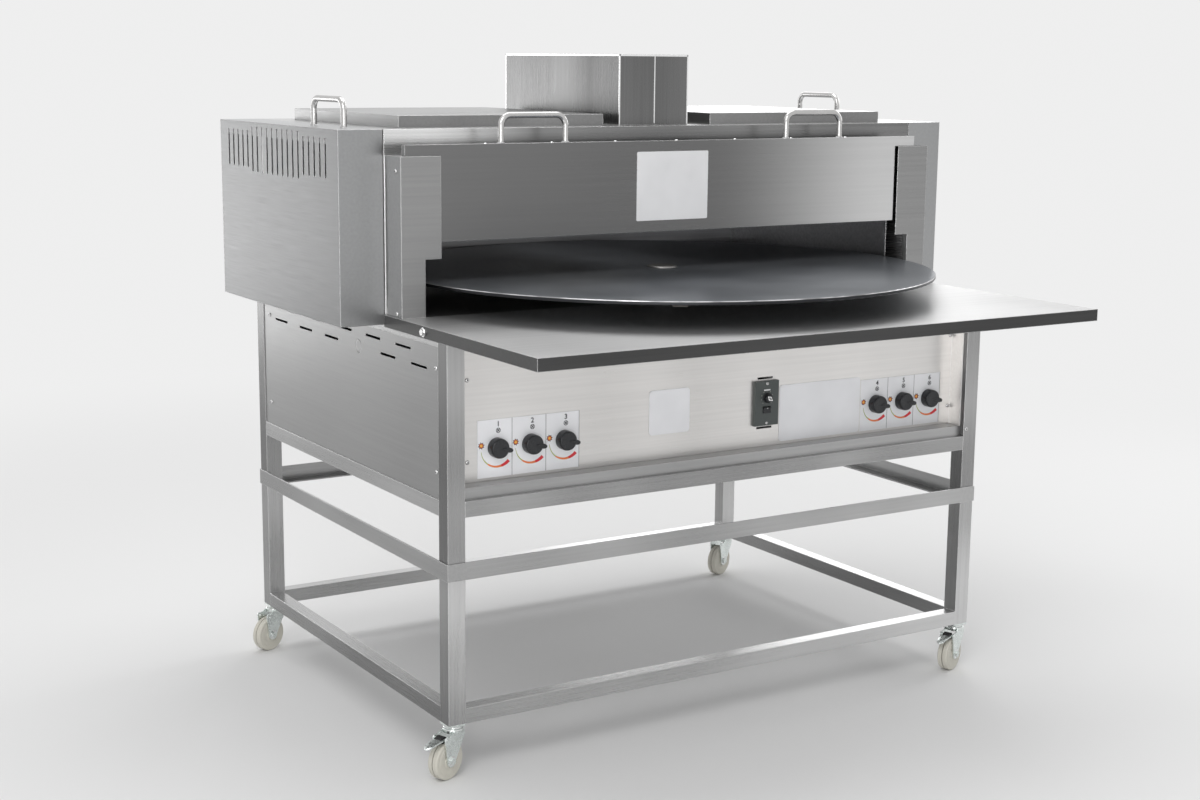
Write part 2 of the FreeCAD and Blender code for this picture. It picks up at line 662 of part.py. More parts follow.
def screws():
    heads = []
    side_x = HALF_WIDTH - SIDE_PANEL_RECESS
    for sign in (-1, 1):
        for y in (Y_FRONT + POST + PANEL_SCREW_INSET, Y_REAR - POST - PANEL_SCREW_REAR_INSET):
            for z in (Z_RAIL_TOP + PANEL_SCREW_LOW, Z_UPPER_RAIL - PANEL_SCREW_TOP):
                heads.append(screw_head(V(sign * side_x, y, z), X_AXIS * sign))
        for z in (Z_SHELF + GUIDE_SCREW_LOW, Z_GUIDE_TOP - GUIDE_SCREW_TOP):
            heads.append(screw_head(V(sign * GUIDE_X, Y_GUIDE + GUIDE_SCREW_BACK, z), X_AXIS * sign))
    for x in (-POST_INNER + CONTROL_SCREW_LEFT_INSET, POST_INNER - CONTROL_SCREW_RIGHT_INSET):
        for z in (Z_PAN + CONTROL_SCREW_LOW, Z_UPPER_RAIL - CONTROL_SCREW_TOP):
            heads.append(screw_head(V(x, Y_CONTROL, z), -Y_AXIS))
    heads.append(screw_head(V(POST_INNER + POST_SCREW_INSET, Y_FRONT, Z_RAIL_TOP + POST_SCREW_RISE), -Y_AXIS))
    z_bolt = Z_SHELF - SHELF_FLANGE / 2
    for sign in (-1, 1):
        place = V(sign * (HALF_WIDTH + SHEET), Y_FRONT + SHELF_BOLT_BACK, z_bolt)
        heads.append(hexagon(place, X_AXIS * sign, BOLT_ACROSS_FLATS, BOLT_HEAD))
    return heads


# Shelf

def shelf():
    """Tray cap in front of the guides, with side flanges that run back along the floor sheet."""
    x1 = HALF_WIDTH + SHEET
    z0 = Z_SHELF - SHELF_FLANGE
    outer = box(-x1, x1, Y_SHELF, Y_BODY, z0, Z_SHELF)
    inner = box(-HALF_WIDTH, HALF_WIDTH, Y_SHELF + SHEET, Y_BODY, z0, Z_POST_TOP)
    floor_room = box(-HALF_WIDTH, HALF_WIDTH, Y_GUIDE, Y_BODY, Z_POST_TOP, Z_SHELF)
    return outer.cut(inner).cut(floor_room)


# Gas parts

def burner_places():
    """Name, place and height of the burners on a side, and where each supply pipe climbs from there."""
    z_top = Z_CEILING - TOP_BURNER_DROP
    z_bottom = Z_PLATE - BOTTOM_BURNER_DROP
    return [("front", Y_BODY + FRONT_BURNER_INSET, z_top, V(0, 0, -NOZZLE_OFFSET)),
            ("back", Y_CAVITY_BACK - REAR_BURNER_INSET, z_top, V(0, 0, -NOZZLE_OFFSET)),
            ("bottom", Y_BODY + BOTTOM_BURNER_INSET, z_bottom, V(0, NOZZLE_OFFSET, 0))]


def burner_holes():
    """Clearance rods through one side of the oven wall, for the left burners."""
    x0 = -SKIN_X - SHEET
    x1 = -CAVITY_HALF_WIDTH + SHEET
    rods = []
    for name, y, z, climb in burner_places():
        rods.append(rod(V(x0, y, z), X_AXIS, BURNER_RADIUS + BURNER_HOLE_GAP, x1 - x0))
    return rods


def burner(y, z):
    """Left pipe burner: closed inner end, air bell at the outer end."""
    start = V(-X_BURNER_BELL, y, z)
    length = X_BURNER_BELL - BURNER_INNER_X
    wall = BURNER_RADIUS - BURNER_BORE
    pipe = rod(start, X_AXIS, BURNER_RADIUS, length)
    bell = Part.makeCone(BURNER_RADIUS, BURNER_BELL_RADIUS, BURNER_BELL_LENGTH, start, -X_AXIS)
    bore = rod(start, X_AXIS, BURNER_BORE, length - wall)
    mouth = Part.makeCone(BURNER_BORE, BURNER_BELL_RADIUS - wall, BURNER_BELL_LENGTH, start, -X_AXIS)
    return fuse([pipe, bell]).cut(bore).cut(mouth)


def burners():
    left = [burner(y, z) for name, y, z, climb in burner_places()]
    return left + [mirror_x(b) for b in left]


def valve(x):
    body = rod(V(x, Y_VALVE, Z_KNOB), Y_AXIS, VALVE_RADIUS, VALVE_LENGTH)
    bore = rod(V(x, Y_VALVE, Z_KNOB), Y_AXIS, STEM_RADIUS + RUN_GAP, STEM_ENTRY + FIT_GAP)
    return body.cut(bore)


def manifold():
    """Supply bar behind the valves, and the gas inlet that hangs through the pan to a threaded end."""
    x0 = min(knob_places()) - MANIFOLD_OVERHANG
    x1 = max(knob_places()) + MANIFOLD_OVERHANG
    bar = rod(V(x0, Y_MANIFOLD, Z_KNOB), X_AXIS, MANIFOLD_RADIUS, x1 - x0)
    end = V(INLET_X, Y_MANIFOLD, Z_KNOB - INLET_DROP)
    thread = rod(end, Z_AXIS, INLET_THREAD_RADIUS, INLET_THREAD_LENGTH)
    inlet = rod(end + Z_AXIS * INLET_THREAD_LENGTH, Z_AXIS, MANIFOLD_RADIUS, INLET_DROP - INLET_THREAD_LENGTH)
    return fuse([bar, inlet, thread])


def pipe_run(points):
    """Round pipe through the given points, with a ball fitting at each turn."""
    pieces = []
    for start, end in zip(points, points[1:]):
        run = end - start
        pieces.append(rod(start, run, PIPE_RADIUS, run.Length))
    for corner in points[1:-1]:
        pieces.append(Part.makeSphere(ELBOW_RADIUS, corner))
    return fuse(pieces)


def pipe_route(side, x_valve, nozzle_y, nozzle_z, climb, level):
    """Up from the valve, out to the side, back, up beside the oven wall and out to the air bell."""
    y_valve = Y_VALVE + VALVE_LENGTH / 2
    y_turn = Y_MANIFOLD + MANIFOLD_RADIUS + PIPE_TURN_GAP
    x_riser = side * X_PIPE_RISER
    nozzle = V(side * X_PIPE_OUTER, nozzle_y, nozzle_z)
    outer = nozzle + climb
    return [V(x_valve, y_valve, Z_KNOB + VALVE_RADIUS), V(x_valve, y_valve, level),
            V(x_valve, y_turn, level), V(x_riser, y_turn, level), V(x_riser, outer.y, level),
            V(x_riser, outer.y, outer.z), outer, nozzle, nozzle - X_AXIS * (side * NOZZLE_LENGTH)]


def pipe_routes():
    """The front burner takes the highest level and the back burner the lowest, so no two runs cross."""
    places = knob_places()
    left = dict(zip(("front", "back", "bottom"), places[:KNOBS_PER_GROUP]))
    right = dict(zip(("bottom", "back", "front"), places[KNOBS_PER_GROUP:]))
    levels = [Z_KNOB + PIPE_RISE + step * PIPE_LEVEL_STEP for step in range(KNOBS_PER_GROUP)]
    level = dict(zip(("back", "bottom", "front"), levels))
    routes = []
    for side, valves in ((-1, left), (1, right)):
        for name, y, z, climb in burner_places():
            routes.append(pipe_route(side, valves[name], y, z, climb, level[name]))
    return routes


def pipe_clearances():
    """Room for the left pipes where they climb and cross in the oven wall."""
    rooms = []
    for points in pipe_routes()[:KNOBS_PER_GROUP]:
        for start, end in ((points[4], points[5]), (points[5], points[6])):
            run = end - start
            rooms.append(rod(start, run, ELBOW_RADIUS + BURNER_HOLE_GAP, run.Length))
        rooms.append(Part.makeSphere(ELBOW_RADIUS + BURNER_HOLE_GAP, points[5]))
    return rooms


# Turning plate and drive

def spindle_bridge():
    tubes = []
    for sign in (-1, 1):
        y = Y_PLATE + sign * BRIDGE_HALF_GAP
        tubes.append(square_tube(-HALF_WIDTH + RAIL, HALF_WIDTH - RAIL, y - RAIL / 2, y + RAIL / 2,
                                 Z_UPPER_RAIL, Z_POST_TOP, "x"))
    return tubes + [drive_plate(Z_BRIDGE_PLATE)]


def drive_plate(z0):
    plate = box(-BEARING_PLATE_X / 2, BEARING_PLATE_X / 2, Y_PLATE - BEARING_PLATE_Y / 2,
                Y_PLATE + BEARING_PLATE_Y / 2, z0, z0 + BEARING_PLATE_THICK)
    return plate.cut(rod(V(0, Y_PLATE, z0), Z_AXIS, SPINDLE_RADIUS + STEM_HOLE_GAP, BEARING_PLATE_THICK))


def spindle_bearing():
    body = rod(V(0, Y_PLATE, Z_UPPER_RAIL), Z_AXIS, BEARING_RADIUS, BEARING_HEIGHT)
    return body.cut(rod(V(0, Y_PLATE, Z_UPPER_RAIL), Z_AXIS, SPINDLE_RADIUS + RUN_GAP, BEARING_HEIGHT))


def motor_hanger():
    pillars = []
    for sx in (-1, 1):
        for sy in (-1, 1):
            x = sx * (BEARING_PLATE_X / 2 - PILLAR_INSET)
            y = Y_PLATE + sy * (BEARING_PLATE_Y / 2 - PILLAR_INSET)
            pillars.append(rod(V(x, y, Z_MOTOR_PLATE), Z_AXIS, PILLAR_RADIUS, PILLAR_LENGTH))
    return pillars + [drive_plate(Z_MOTOR_PLATE - BEARING_PLATE_THICK)]


def gearmotor():
    """Hollow-shaft gearbox under the motor plate, with the motor lying to the back."""
    z1 = Z_MOTOR_PLATE - BEARING_PLATE_THICK
    z0 = z1 - GEARBOX_Z
    case = box(-GEARBOX_X / 2, GEARBOX_X / 2, Y_PLATE - GEARBOX_Y / 2, Y_PLATE + GEARBOX_Y / 2, z0, z1)
    case = case.cut(rod(V(0, Y_PLATE, z0), Z_AXIS, SPINDLE_RADIUS + RUN_GAP, GEARBOX_Z))
    y_motor = Y_PLATE + GEARBOX_Y / 2
    z_motor = z0 + GEARBOX_Z / 2
    motor = rod(V(0, y_motor, z_motor), Y_AXIS, MOTOR_RADIUS, MOTOR_LENGTH)
    y_box = y_motor + MOTOR_LENGTH / 2
    wiring = box(-TERMINAL_BOX / 2, TERMINAL_BOX / 2, y_box - TERMINAL_BOX / 2, y_box + TERMINAL_BOX / 2,
                 z_motor, z_motor + MOTOR_RADIUS + TERMINAL_RISE)
    return [case, fuse([motor, wiring])]


def spindle():
    z0 = Z_MOTOR_PLATE - BEARING_PLATE_THICK - SPINDLE_ENTRY
    return rod(V(0, Y_PLATE, z0), Z_AXIS, SPINDLE_RADIUS, Z_PLATE - HUB_THICK - z0)


def plate_hub():
    """Flange on the spindle with flat arms that carry the plate."""
    pieces = [rod(V(0, Y_PLATE, Z_PLATE - HUB_THICK), Z_AXIS, HUB_RADIUS, HUB_THICK)]
    for index in range(ARM_COUNT):
        arm = box(HUB_RADIUS / 2, ARM_REACH, Y_PLATE - ARM_WIDTH / 2, Y_PLATE + ARM_WIDTH / 2,
                  Z_PLATE - ARM_THICK, Z_PLATE)
        arm.rotate(V(0, Y_PLATE, 0), Z_AXIS, index * 360.0 / ARM_COUNT)
        pieces.append(arm)
    return fuse(pieces)


def turn_plate():
    """Round plate with eased rims and a hole for the boss that centres it."""
    plate = rod(V(0, Y_PLATE, Z_PLATE), Z_AXIS, PLATE_RADIUS, PLATE_THICKNESS)
    rims = [e for e in plate.Edges if e.Curve.TypeId == "Part::GeomCircle"]
    plate = plate.makeFillet(PLATE_EDGE, rims)
    return plate.cut(rod(V(0, Y_PLATE, Z_PLATE), Z_AXIS, CAP_RADIUS + FIT_GAP, PLATE_THICKNESS))


def centre_cap():
    """Boss on the hub that stands through the plate and ends in a low cone."""
    boss = rod(V(0, Y_PLATE, Z_PLATE), Z_AXIS, CAP_RADIUS, PLATE_THICKNESS)
    top = Part.makeCone(CAP_RADIUS, CAP_RADIUS - CAP_TAPER, CAP_THICK,
                        V(0, Y_PLATE, Z_PLATE + PLATE_THICKNESS), Z_AXIS)
    return fuse([boss, top])


# Upper oven

def cavity_floor():
    floor = box(-HALF_WIDTH, HALF_WIDTH, Y_GUIDE, Y_REAR, Z_POST_TOP, Z_SHELF)
    hole = rod(V(0, Y_PLATE, Z_POST_TOP), Z_AXIS, FLOOR_HOLE_RADIUS, SHEET)
    floor = floor.cut(hole)
    for side in (-1, 1):
        for name, y, z, climb in burner_places():
            floor = floor.cut(rod(V(side * X_PIPE_RISER, y + climb.y, Z_POST_TOP), Z_AXIS,
                                  ELBOW_RADIUS + BURNER_HOLE_GAP, SHEET))
    return floor


def cavity_walls():
    """Inner lining: two side sheets, and a back of two sheets that meet at a middle seam."""
    y0 = Y_BODY + SHEET
    left = box(-WALL_OUTER, -CAVITY_HALF_WIDTH, y0, Y_CAVITY_BACK, Z_SHELF, Z_CEILING)
    for cutter in burner_holes():
        left = left.cut(cutter)
    back_left = box(-WALL_OUTER, -BACK_SEAM_GAP / 2, Y_CAVITY_BACK, Y_CAVITY_BACK + SHEET,
                    Z_SHELF, Z_CEILING)
    return [left, mirror_x(left), back_left, mirror_x(back_left)]


def flue_box(z0, z1):
    half = CHIMNEY_WIDTH / 2 - FLUE_SIDE_INSET
    y0 = Y_BODY + CHIMNEY_FRONT_INSET + FLUE_END_INSET
    y1 = Y_BODY_REAR - CHIMNEY_REAR_INSET - FLUE_END_INSET
    return box(-half, half, y0, y1, z0, z1)


def cavity_ceiling():
    sheet = box(-WALL_OUTER, WALL_OUTER, Y_BODY + SHEET, Y_CAVITY_BACK + SHEET, Z_CEILING, Z_CEILING + SHEET)
    return sheet.cut(flue_box(Z_CEILING, Z_CEILING + SHEET))


def insulation():
    """Boards between the lining and the outer skin, round the flue."""
    y0 = Y_BODY + SHEET
    y_back = Y_CAVITY_BACK + SHEET
    y1 = Y_BODY_REAR - SHEET
    skin_inner = SKIN_X - SHEET
    left = box(-skin_inner, -WALL_OUTER, y0, y_back, Z_SHELF, Z_CEILING + SHEET)
    for cutter in burner_holes() + pipe_clearances():
        left = left.cut(cutter)
    back = box(-skin_inner, skin_inner, y_back, y1, Z_SHELF, Z_CEILING + SHEET)
    z0 = Z_CEILING + SHEET
    z1 = Z_DECK - SHEET
    flue = flue_box(z0, z1).BoundBox
    top_left = box(-skin_inner, flue.XMin, y0, y1, z0, z1)
    top_front = box(flue.XMin, flue.XMax, y0, flue.YMin, z0, z1)
    top_back = box(flue.XMin, flue.XMax, flue.YMax, y1, z0, z1)
    return [left, mirror_x(left), back, top_left, mirror_x(top_left), top_front, top_back]


def body_skins():
    """Outer side skins, the ledge on each that its cover rests on, and the rear skin."""
    y0 = Y_BODY + SHEET
    left = box(-SKIN_X, -SKIN_X + SHEET, y0, Y_BODY_REAR - SHEET, Z_SHELF, Z_DECK - SHEET)
    for cutter in burner_holes() + pipe_clearances():
        left = left.cut(cutter)
    z1 = Z_DECK - SHEET
    ledge = box(-SKIN_X - LEDGE_WIDTH, -SKIN_X, Y_BODY + LEDGE_INSET, Y_BODY_REAR - LEDGE_INSET,
                z1 - LEDGE_THICK, z1)
    rear = box(-SKIN_X, SKIN_X, Y_BODY_REAR - SHEET, Y_BODY_REAR, Z_SHELF, Z_DECK - SHEET)
    return [left, mirror_x(left), ledge, mirror_x(ledge), rear]


def lid_block(margin, z0, z1):
    """Block of the right lid's outline, drawn in by a margin."""
    return box(CHIMNEY_WIDTH / 2 + LID_CHIMNEY_GAP + margin, SKIN_X - LID_SIDE_INSET - margin,
               Y_BODY + LID_FRONT_INSET + margin, Y_BODY_REAR - LID_REAR_INSET - margin, z0, z1)


def top_deck():
    """Top sheet with the flue hole and the two burner hatches under the lids."""
    z0 = Z_DECK - SHEET
    deck = box(-SKIN_X, SKIN_X, Y_BODY + SHEET, Y_BODY_REAR, z0, Z_DECK)
    deck = deck.cut(flue_box(z0, Z_DECK))
    hatch = lid_block(LID_OVERLAP, z0, Z_DECK)
    return deck.cut(hatch).cut(mirror_x(hatch))


def fascia():
    """Front sheet of the upper oven, cut away over the mouth."""
    y1 = Y_BODY + SHEET
    sheet = box(-SKIN_X, SKIN_X, Y_BODY, y1, Z_SHELF, Z_DECK)
    mouth = box(-CAVITY_HALF_WIDTH, CAVITY_HALF_WIDTH, Y_BODY, y1, Z_SHELF, Z_SHELF + MOUTH_HEIGHT)
    return sheet.cut(mouth)


def lid():
    """Right shallow box lid, open below."""
    z1 = Z_DECK + LID_HEIGHT
    return lid_block(0, Z_DECK, z1).cut(lid_block(PANEL_SHEET, Z_DECK, z1 - PANEL_SHEET))


def chimney():
    y0 = Y_BODY + CHIMNEY_FRONT_INSET
    y1 = Y_BODY_REAR - CHIMNEY_REAR_INSET
    z1 = Z_DECK + CHIMNEY_HEIGHT
    half = CHIMNEY_WIDTH / 2
    outer = box(-half, half, y0, y1, Z_DECK, z1)
    return outer.cut(box(-half + SHEET, half - SHEET, y0 + SHEET, y1 - SHEET, Z_DECK, z1))


def side_cover():
    """Left cover: top, front, back and outer sheets, open below and towards the oven."""
    x0 = -SKIN_X - COVER_WIDTH
    x1 = -HALF_WIDTH - FIT_GAP
    z0 = Z_SHELF - COVER_DROP
    outer = box(x0, x1, Y_BODY, Y_BODY_REAR, z0, Z_DECK)
    t = SHEET
    cover = outer.cut(box(x0 + t, x1, Y_BODY + t, Y_BODY_REAR - t, z0, Z_DECK - t))
    pitch = (BODY_DEPTH - LOUVRE_FIRST - LOUVRE_LAST) / (LOUVRE_COUNT - 1)
    for index in range(LOUVRE_COUNT):
        y = Y_BODY + LOUVRE_FIRST + index * pitch
        at_end = index < LOUVRE_OUTER_COUNT or index >= LOUVRE_COUNT - LOUVRE_OUTER_COUNT
        height = LOUVRE_SHORT if at_end else LOUVRE_LONG
        cover = cover.cut(slot_opening(x0, x0 + t, y, Z_DECK - LOUVRE_DROP, LOUVRE_WIDTH, height))
    return cover


def rod_handle(centre, along):
    """Bent rod handle that stands on a flat top: two legs, two round bends and a straight grip."""
    half = HANDLE_SPAN / 2
    rise = HANDLE_RISE
    bend = HANDLE_BEND

    def at(s, z):
        return centre + along * s + V(0, 0, z)

    k = bend * (1 - math.sqrt(0.5))
    path = Part.Wire([
        Part.LineSegment(at(-half, 0), at(-half, rise - bend)).toShape(),
        Part.Arc(at(-half, rise - bend), at(-half + k, rise - k), at(-half + bend, rise)).toShape(),
        Part.LineSegment(at(-half + bend, rise), at(half - bend, rise)).toShape(),
        Part.Arc(at(half - bend, rise), at(half - k, rise - k), at(half, rise - bend)).toShape(),
        Part.LineSegment(at(half, rise - bend), at(half, 0)).toShape()])
    section = Part.Wire([Part.makeCircle(ROD_RADIUS, at(-half, 0), Z_AXIS)])
    return path.makePipeShell([section], True, False)


def cover_handle(side, back):
    x = side * (SKIN_X + COVER_WIDTH / 2)
    return rod_handle(V(x, Y_BODY + back, Z_DECK), Y_AXIS)


# Door

def guide():
    """Left door guide: side wall, notched front flange and a cap that the door's tab rests on."""
    x0 = -GUIDE_X
    wall = box(x0, x0 + SHEET, Y_GUIDE, Y_BODY, Z_SHELF, Z_GUIDE_TOP)
    z_notch = Z_SHELF + GUIDE_NOTCH_HEIGHT
    foot = box(x0, x0 + GUIDE_FOOT_FLANGE, Y_GUIDE, Y_GUIDE + SHEET, Z_SHELF, z_notch)
    flange = box(x0, x0 + GUIDE_FLANGE, Y_GUIDE, Y_GUIDE + SHEET, z_notch, Z_GUIDE_TOP)
    x_cap = -(DOOR_HALF_WIDTH - DOOR_SHIFT + DOOR_GAP)
    cap = box(x0, x_cap, Y_GUIDE, Y_BODY, Z_GUIDE_TOP - SHEET, Z_GUIDE_TOP)
    return fuse([wall, foot, flange, cap])


def door():
    """Folded door panel that hangs on the guide caps by its two end tabs, open at the back."""
    y1 = Y_DOOR + DOOR_THICK
    z0 = Z_GUIDE_TOP - DOOR_DROP
    z1 = Z_GUIDE_TOP + DOOR_TAB_HEIGHT
    t = PANEL_SHEET
    layers = []
    for wall, y0 in ((0, Y_DOOR), (t, Y_DOOR + t)):
        leaf = box(DOOR_SHIFT - DOOR_HALF_WIDTH + wall, DOOR_SHIFT + DOOR_HALF_WIDTH - wall, y0, y1,
                   z0 + wall, z1 - wall)
        head = box(DOOR_SHIFT - DOOR_TAB_HALF_WIDTH + wall, DOOR_SHIFT + DOOR_TAB_HALF_WIDTH - wall, y0, y1,
                   Z_GUIDE_TOP + wall, z1 - wall)
        layers.append(fuse([leaf, head]))
    return layers[0].cut(layers[1])


def door_handles():
    handles = []
    for sign in (-1, 1):
        x = DOOR_SHIFT + sign * (DOOR_HALF_WIDTH - DOOR_HANDLE_INSET)
        handles.append(rod_handle(V(x, Y_DOOR + DOOR_THICK / 2, Z_GUIDE_TOP + DOOR_TAB_HEIGHT), X_AXIS))
    return handles


# Casters, built with the swivel axis on the origin and the wheel trailing towards -X

def under_post(shape, x, y):
    """The shape turned to the wheels' trailing direction and moved under its post."""
    placed = shape.copy()
    turn = FreeCAD.Placement(V(x, y, 0), FreeCAD.Rotation(Z_AXIS, TRAIL_ANGLE))
    placed.Placement = turn.multiply(placed.Placement)
    return placed


def caster_mount():
    plate_z = CASTER_HEIGHT - MOUNT_PLATE_THICK
    half = POST / 2
    plate = box(-half, half, -half, half, plate_z, CASTER_HEIGHT)
    race_z = FORK_HEAD_TOP + FIT_GAP
    race = rod(V(0, 0, race_z), Z_AXIS, RACE_RADIUS, plate_z - race_z)
    pin_z = FORK_HEAD_BOTTOM - FIT_GAP
    pin = rod(V(0, 0, pin_z), Z_AXIS, KINGPIN_RADIUS, plate_z - pin_z)
    nut = rod(V(0, 0, pin_z - KINGPIN_NUT_HEIGHT), Z_AXIS, KINGPIN_NUT_RADIUS, KINGPIN_NUT_HEIGHT)
    return fuse([plate, race, pin, nut])


def caster_fork():
    """Pressed fork: round head, crown, and two legs with round eyes at the axle and the pedal pin."""
    leg_top = FORK_HEAD_TOP - FORK_SHEET
    outline = [(FORK_NECK_HALF, leg_top), (FORK_NECK_HALF, FORK_HEAD_BOTTOM - FORK_NECK_DROP),
               (-TRAIL + FORK_EYE_RADIUS, WHEEL_RADIUS), (-TRAIL - FORK_EYE_RADIUS, WHEEL_RADIUS),
               (PEDAL_PIVOT_X - PEDAL_EYE_RADIUS, PEDAL_PIVOT_Z), (-FORK_NECK_HALF, leg_top)]
    outer = FORK_INNER_HALF + FORK_SHEET
    leg = fuse([prism(outline, FORK_INNER_HALF, outer, "xz"),
                rod(V(-TRAIL, FORK_INNER_HALF, WHEEL_RADIUS), Y_AXIS, FORK_EYE_RADIUS, FORK_SHEET),
                rod(V(PEDAL_PIVOT_X, FORK_INNER_HALF, PEDAL_PIVOT_Z), Y_AXIS, PEDAL_EYE_RADIUS, FORK_SHEET)])
    head = rod(V(0, 0, FORK_HEAD_BOTTOM), Z_AXIS, FORK_HEAD_RADIUS, FORK_HEAD_THICK)
    crown = box(-FORK_NECK_HALF, FORK_NECK_HALF, -outer, outer, FORK_HEAD_BOTTOM, leg_top)
    fork = fuse([head, crown, leg, leg.mirror(V(0, 0, 0), Y_AXIS)])
    for centre, direction, radius, length in (
            (V(0, 0, FORK_HEAD_BOTTOM), Z_AXIS, KINGPIN_RADIUS + RUN_GAP, FORK_HEAD_THICK),
            (V(-TRAIL, -outer, WHEEL_RADIUS), Y_AXIS, AXLE_RADIUS, 2 * outer),
            (V(PEDAL_PIVOT_X, -outer, PEDAL_PIVOT_Z), Y_AXIS, PEDAL_PIN_RADIUS + RUN_GAP, 2 * outer)):
        fork = fork.cut(rod(centre, direction, radius, length))
    return fork


def caster_axle():
    half = FORK_INNER_HALF + FORK_SHEET
    pin = rod(V(-TRAIL, -half, WHEEL_RADIUS), Y_AXIS, AXLE_RADIUS, 2 * half)
    near = hexagon(V(-TRAIL, -half, WHEEL_RADIUS), -Y_AXIS, AXLE_HEX, AXLE_HEAD)
    far = hexagon(V(-TRAIL, half, WHEEL_RADIUS), Y_AXIS, AXLE_HEX, AXLE_HEAD)
    return fuse([pin, near, far])


def caster_wheel():
    """Two-part wheel: rounded tread edges, a groove round the middle and a raised hub."""
    side = WHEEL_WIDTH / 2
    hub = WHEEL_HUB_WIDTH / 2
    groove = WHEEL_GROOVE / 2
    tread = WHEEL_RADIUS
    half = [(AXLE_RADIUS + RUN_GAP, hub), (WHEEL_HUB_RADIUS, hub), (WHEEL_HUB_RADIUS + (hub - side), side),
            (tread, side), (tread, groove), (tread - WHEEL_GROOVE_DEPTH, groove)]
    outline = half + [(a, -b) for a, b in reversed(half)]
    corners = [V(-TRAIL + a, b, WHEEL_RADIUS) for a, b in outline]
    section = Part.Face(Part.makePolygon(corners + [corners[0]]))
    wheel = section.revolve(V(-TRAIL, 0, WHEEL_RADIUS), Y_AXIS, 360)
    rims = [e for e in wheel.Edges if e.Curve.TypeId == "Part::GeomCircle"
            and abs(e.Curve.Radius - tread) < SAME_PLACE and abs(abs(e.Curve.Center.y) - side) < SAME_PLACE]
    return wheel.makeFillet(WHEEL_EDGE, rims)


def brake_pedal():
    """Sheet pedal on a pin between the fork legs, sloping down and out over the wheel."""
    pin_half = FORK_INNER_HALF + FORK_SHEET
    pin = rod(V(PEDAL_PIVOT_X, -pin_half, PEDAL_PIVOT_Z), Y_AXIS, PEDAL_PIN_RADIUS, 2 * pin_half)
    half = FORK_INNER_HALF - PEDAL_SIDE_GAP
    arm = box(PEDAL_PIVOT_X - PEDAL_LENGTH, PEDAL_PIVOT_X, -half, half,
              PEDAL_PIVOT_Z - PEDAL_THICK / 2, PEDAL_PIVOT_Z + PEDAL_THICK / 2)
    arm.rotate(V(PEDAL_PIVOT_X, 0, PEDAL_PIVOT_Z), Y_AXIS, -PEDAL_SLOPE)
    return fuse([pin, arm])


def save_casters():
    inset = POST / 2
    places = {"front_left": (-HALF_WIDTH + inset, Y_FRONT + inset),
              "front_right": (HALF_WIDTH - inset, Y_FRONT + inset),
              "rear_left": (-HALF_WIDTH + inset, Y_REAR - inset),
              "rear_right": (HALF_WIDTH - inset, Y_REAR - inset)}
    mounts = []
    for name, (x, y) in places.items():
        mount = caster_mount()
        mount.translate(V(x, y, 0))
        mounts.append(mount)
        save("fork_" + name, [under_post(caster_fork(), x, y), under_post(caster_axle(), x, y)])
        save("wheel_" + name, [under_post(caster_wheel(), x, y)])
        if name.startswith("front"):
            save("pedal_" + name, [under_post(brake_pedal(), x, y)])
    save("caster_mounts", mounts)


os.makedirs("parts", exist_ok=True)

save("stand_frame", stand_frame())
save("stand_rim", [stand_rim()])
save_casters()

save("base_posts", four_corners(HALF_WIDTH, Y_FRONT, Y_REAR, POST, Z_FEET, Z_POST_TOP))
save("base_rails", rail_ring(Z_LOWER_RAIL) + rail_ring(Z_UPPER_RAIL))
save("base_pan", [base_pan()])
save("side_panels", [side_panel(), mirror_x(side_panel())])
save("rear_panel", [rear_panel()])
save("power_inlet", [power_inlet()])

save("control_panel", [control_panel()])
save("panel_plates", knob_plates() + info_plates())
save("speed_box", [speed_box()])
save("speed_dial", [speed_dial()])
save("rocker", [rocker()])
for number, x_knob in enumerate(knob_places(), start=1):
    save("knob_" + str(number), [knob(x_knob)])
save("screws", screws())
save("shelf", [shelf()])

save("gas_valves", [valve(x) for x in knob_places()])
save("gas_manifold", [manifold()])
save("gas_pipes", [pipe_run(points) for points in pipe_routes()])
save("burners", burners())

save("drive_frame", spindle_bridge() + motor_hanger())
save("spindle_bearing", [spindle_bearing()])
save("gearmotor", gearmotor())
save("spindle", [spindle()])
save("plate_hub", [plate_hub()])
save("turn_plate", [turn_plate()])
save("centre_cap", [centre_cap()])

save("cavity_floor", [cavity_floor()])
save("cavity_walls", cavity_walls())
save("cavity_ceiling", [cavity_ceiling()])
save("insulation", insulation())
save("body_skins", body_skins())
save("top_deck", [top_deck()])
save("fascia", [fascia()])
save("lid_left", [mirror_x(lid())])
save("lid_right", [lid()])
save("chimney", [chimney()])
save("cover_left", [side_cover()])
save("cover_right", [mirror_x(side_cover())])
save("cover_handle_left", [cover_handle(-1, COVER_HANDLE_LEFT_Y)])
save("cover_handle_right", [cover_handle(1, COVER_HANDLE_RIGHT_Y)])
save("door_guides", [guide(), mirror_x(guide())])
save("door", [door()])
save("door_handles", door_handles())
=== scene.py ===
import json
import math
import bmesh
import bpy
from mathutils import Matrix, Vector


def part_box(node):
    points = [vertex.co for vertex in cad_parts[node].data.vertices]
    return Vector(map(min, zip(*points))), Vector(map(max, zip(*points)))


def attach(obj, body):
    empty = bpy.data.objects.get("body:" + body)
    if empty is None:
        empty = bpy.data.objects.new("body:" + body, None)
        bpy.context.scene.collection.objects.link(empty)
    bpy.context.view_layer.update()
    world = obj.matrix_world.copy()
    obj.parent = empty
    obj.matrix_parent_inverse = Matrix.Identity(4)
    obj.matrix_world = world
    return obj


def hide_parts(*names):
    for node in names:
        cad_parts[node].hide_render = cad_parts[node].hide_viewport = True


# Rotating-plate tandoor oven on a wheeled stand.
# Metres in the row frame: +X right, +Y to the back, +Z up.

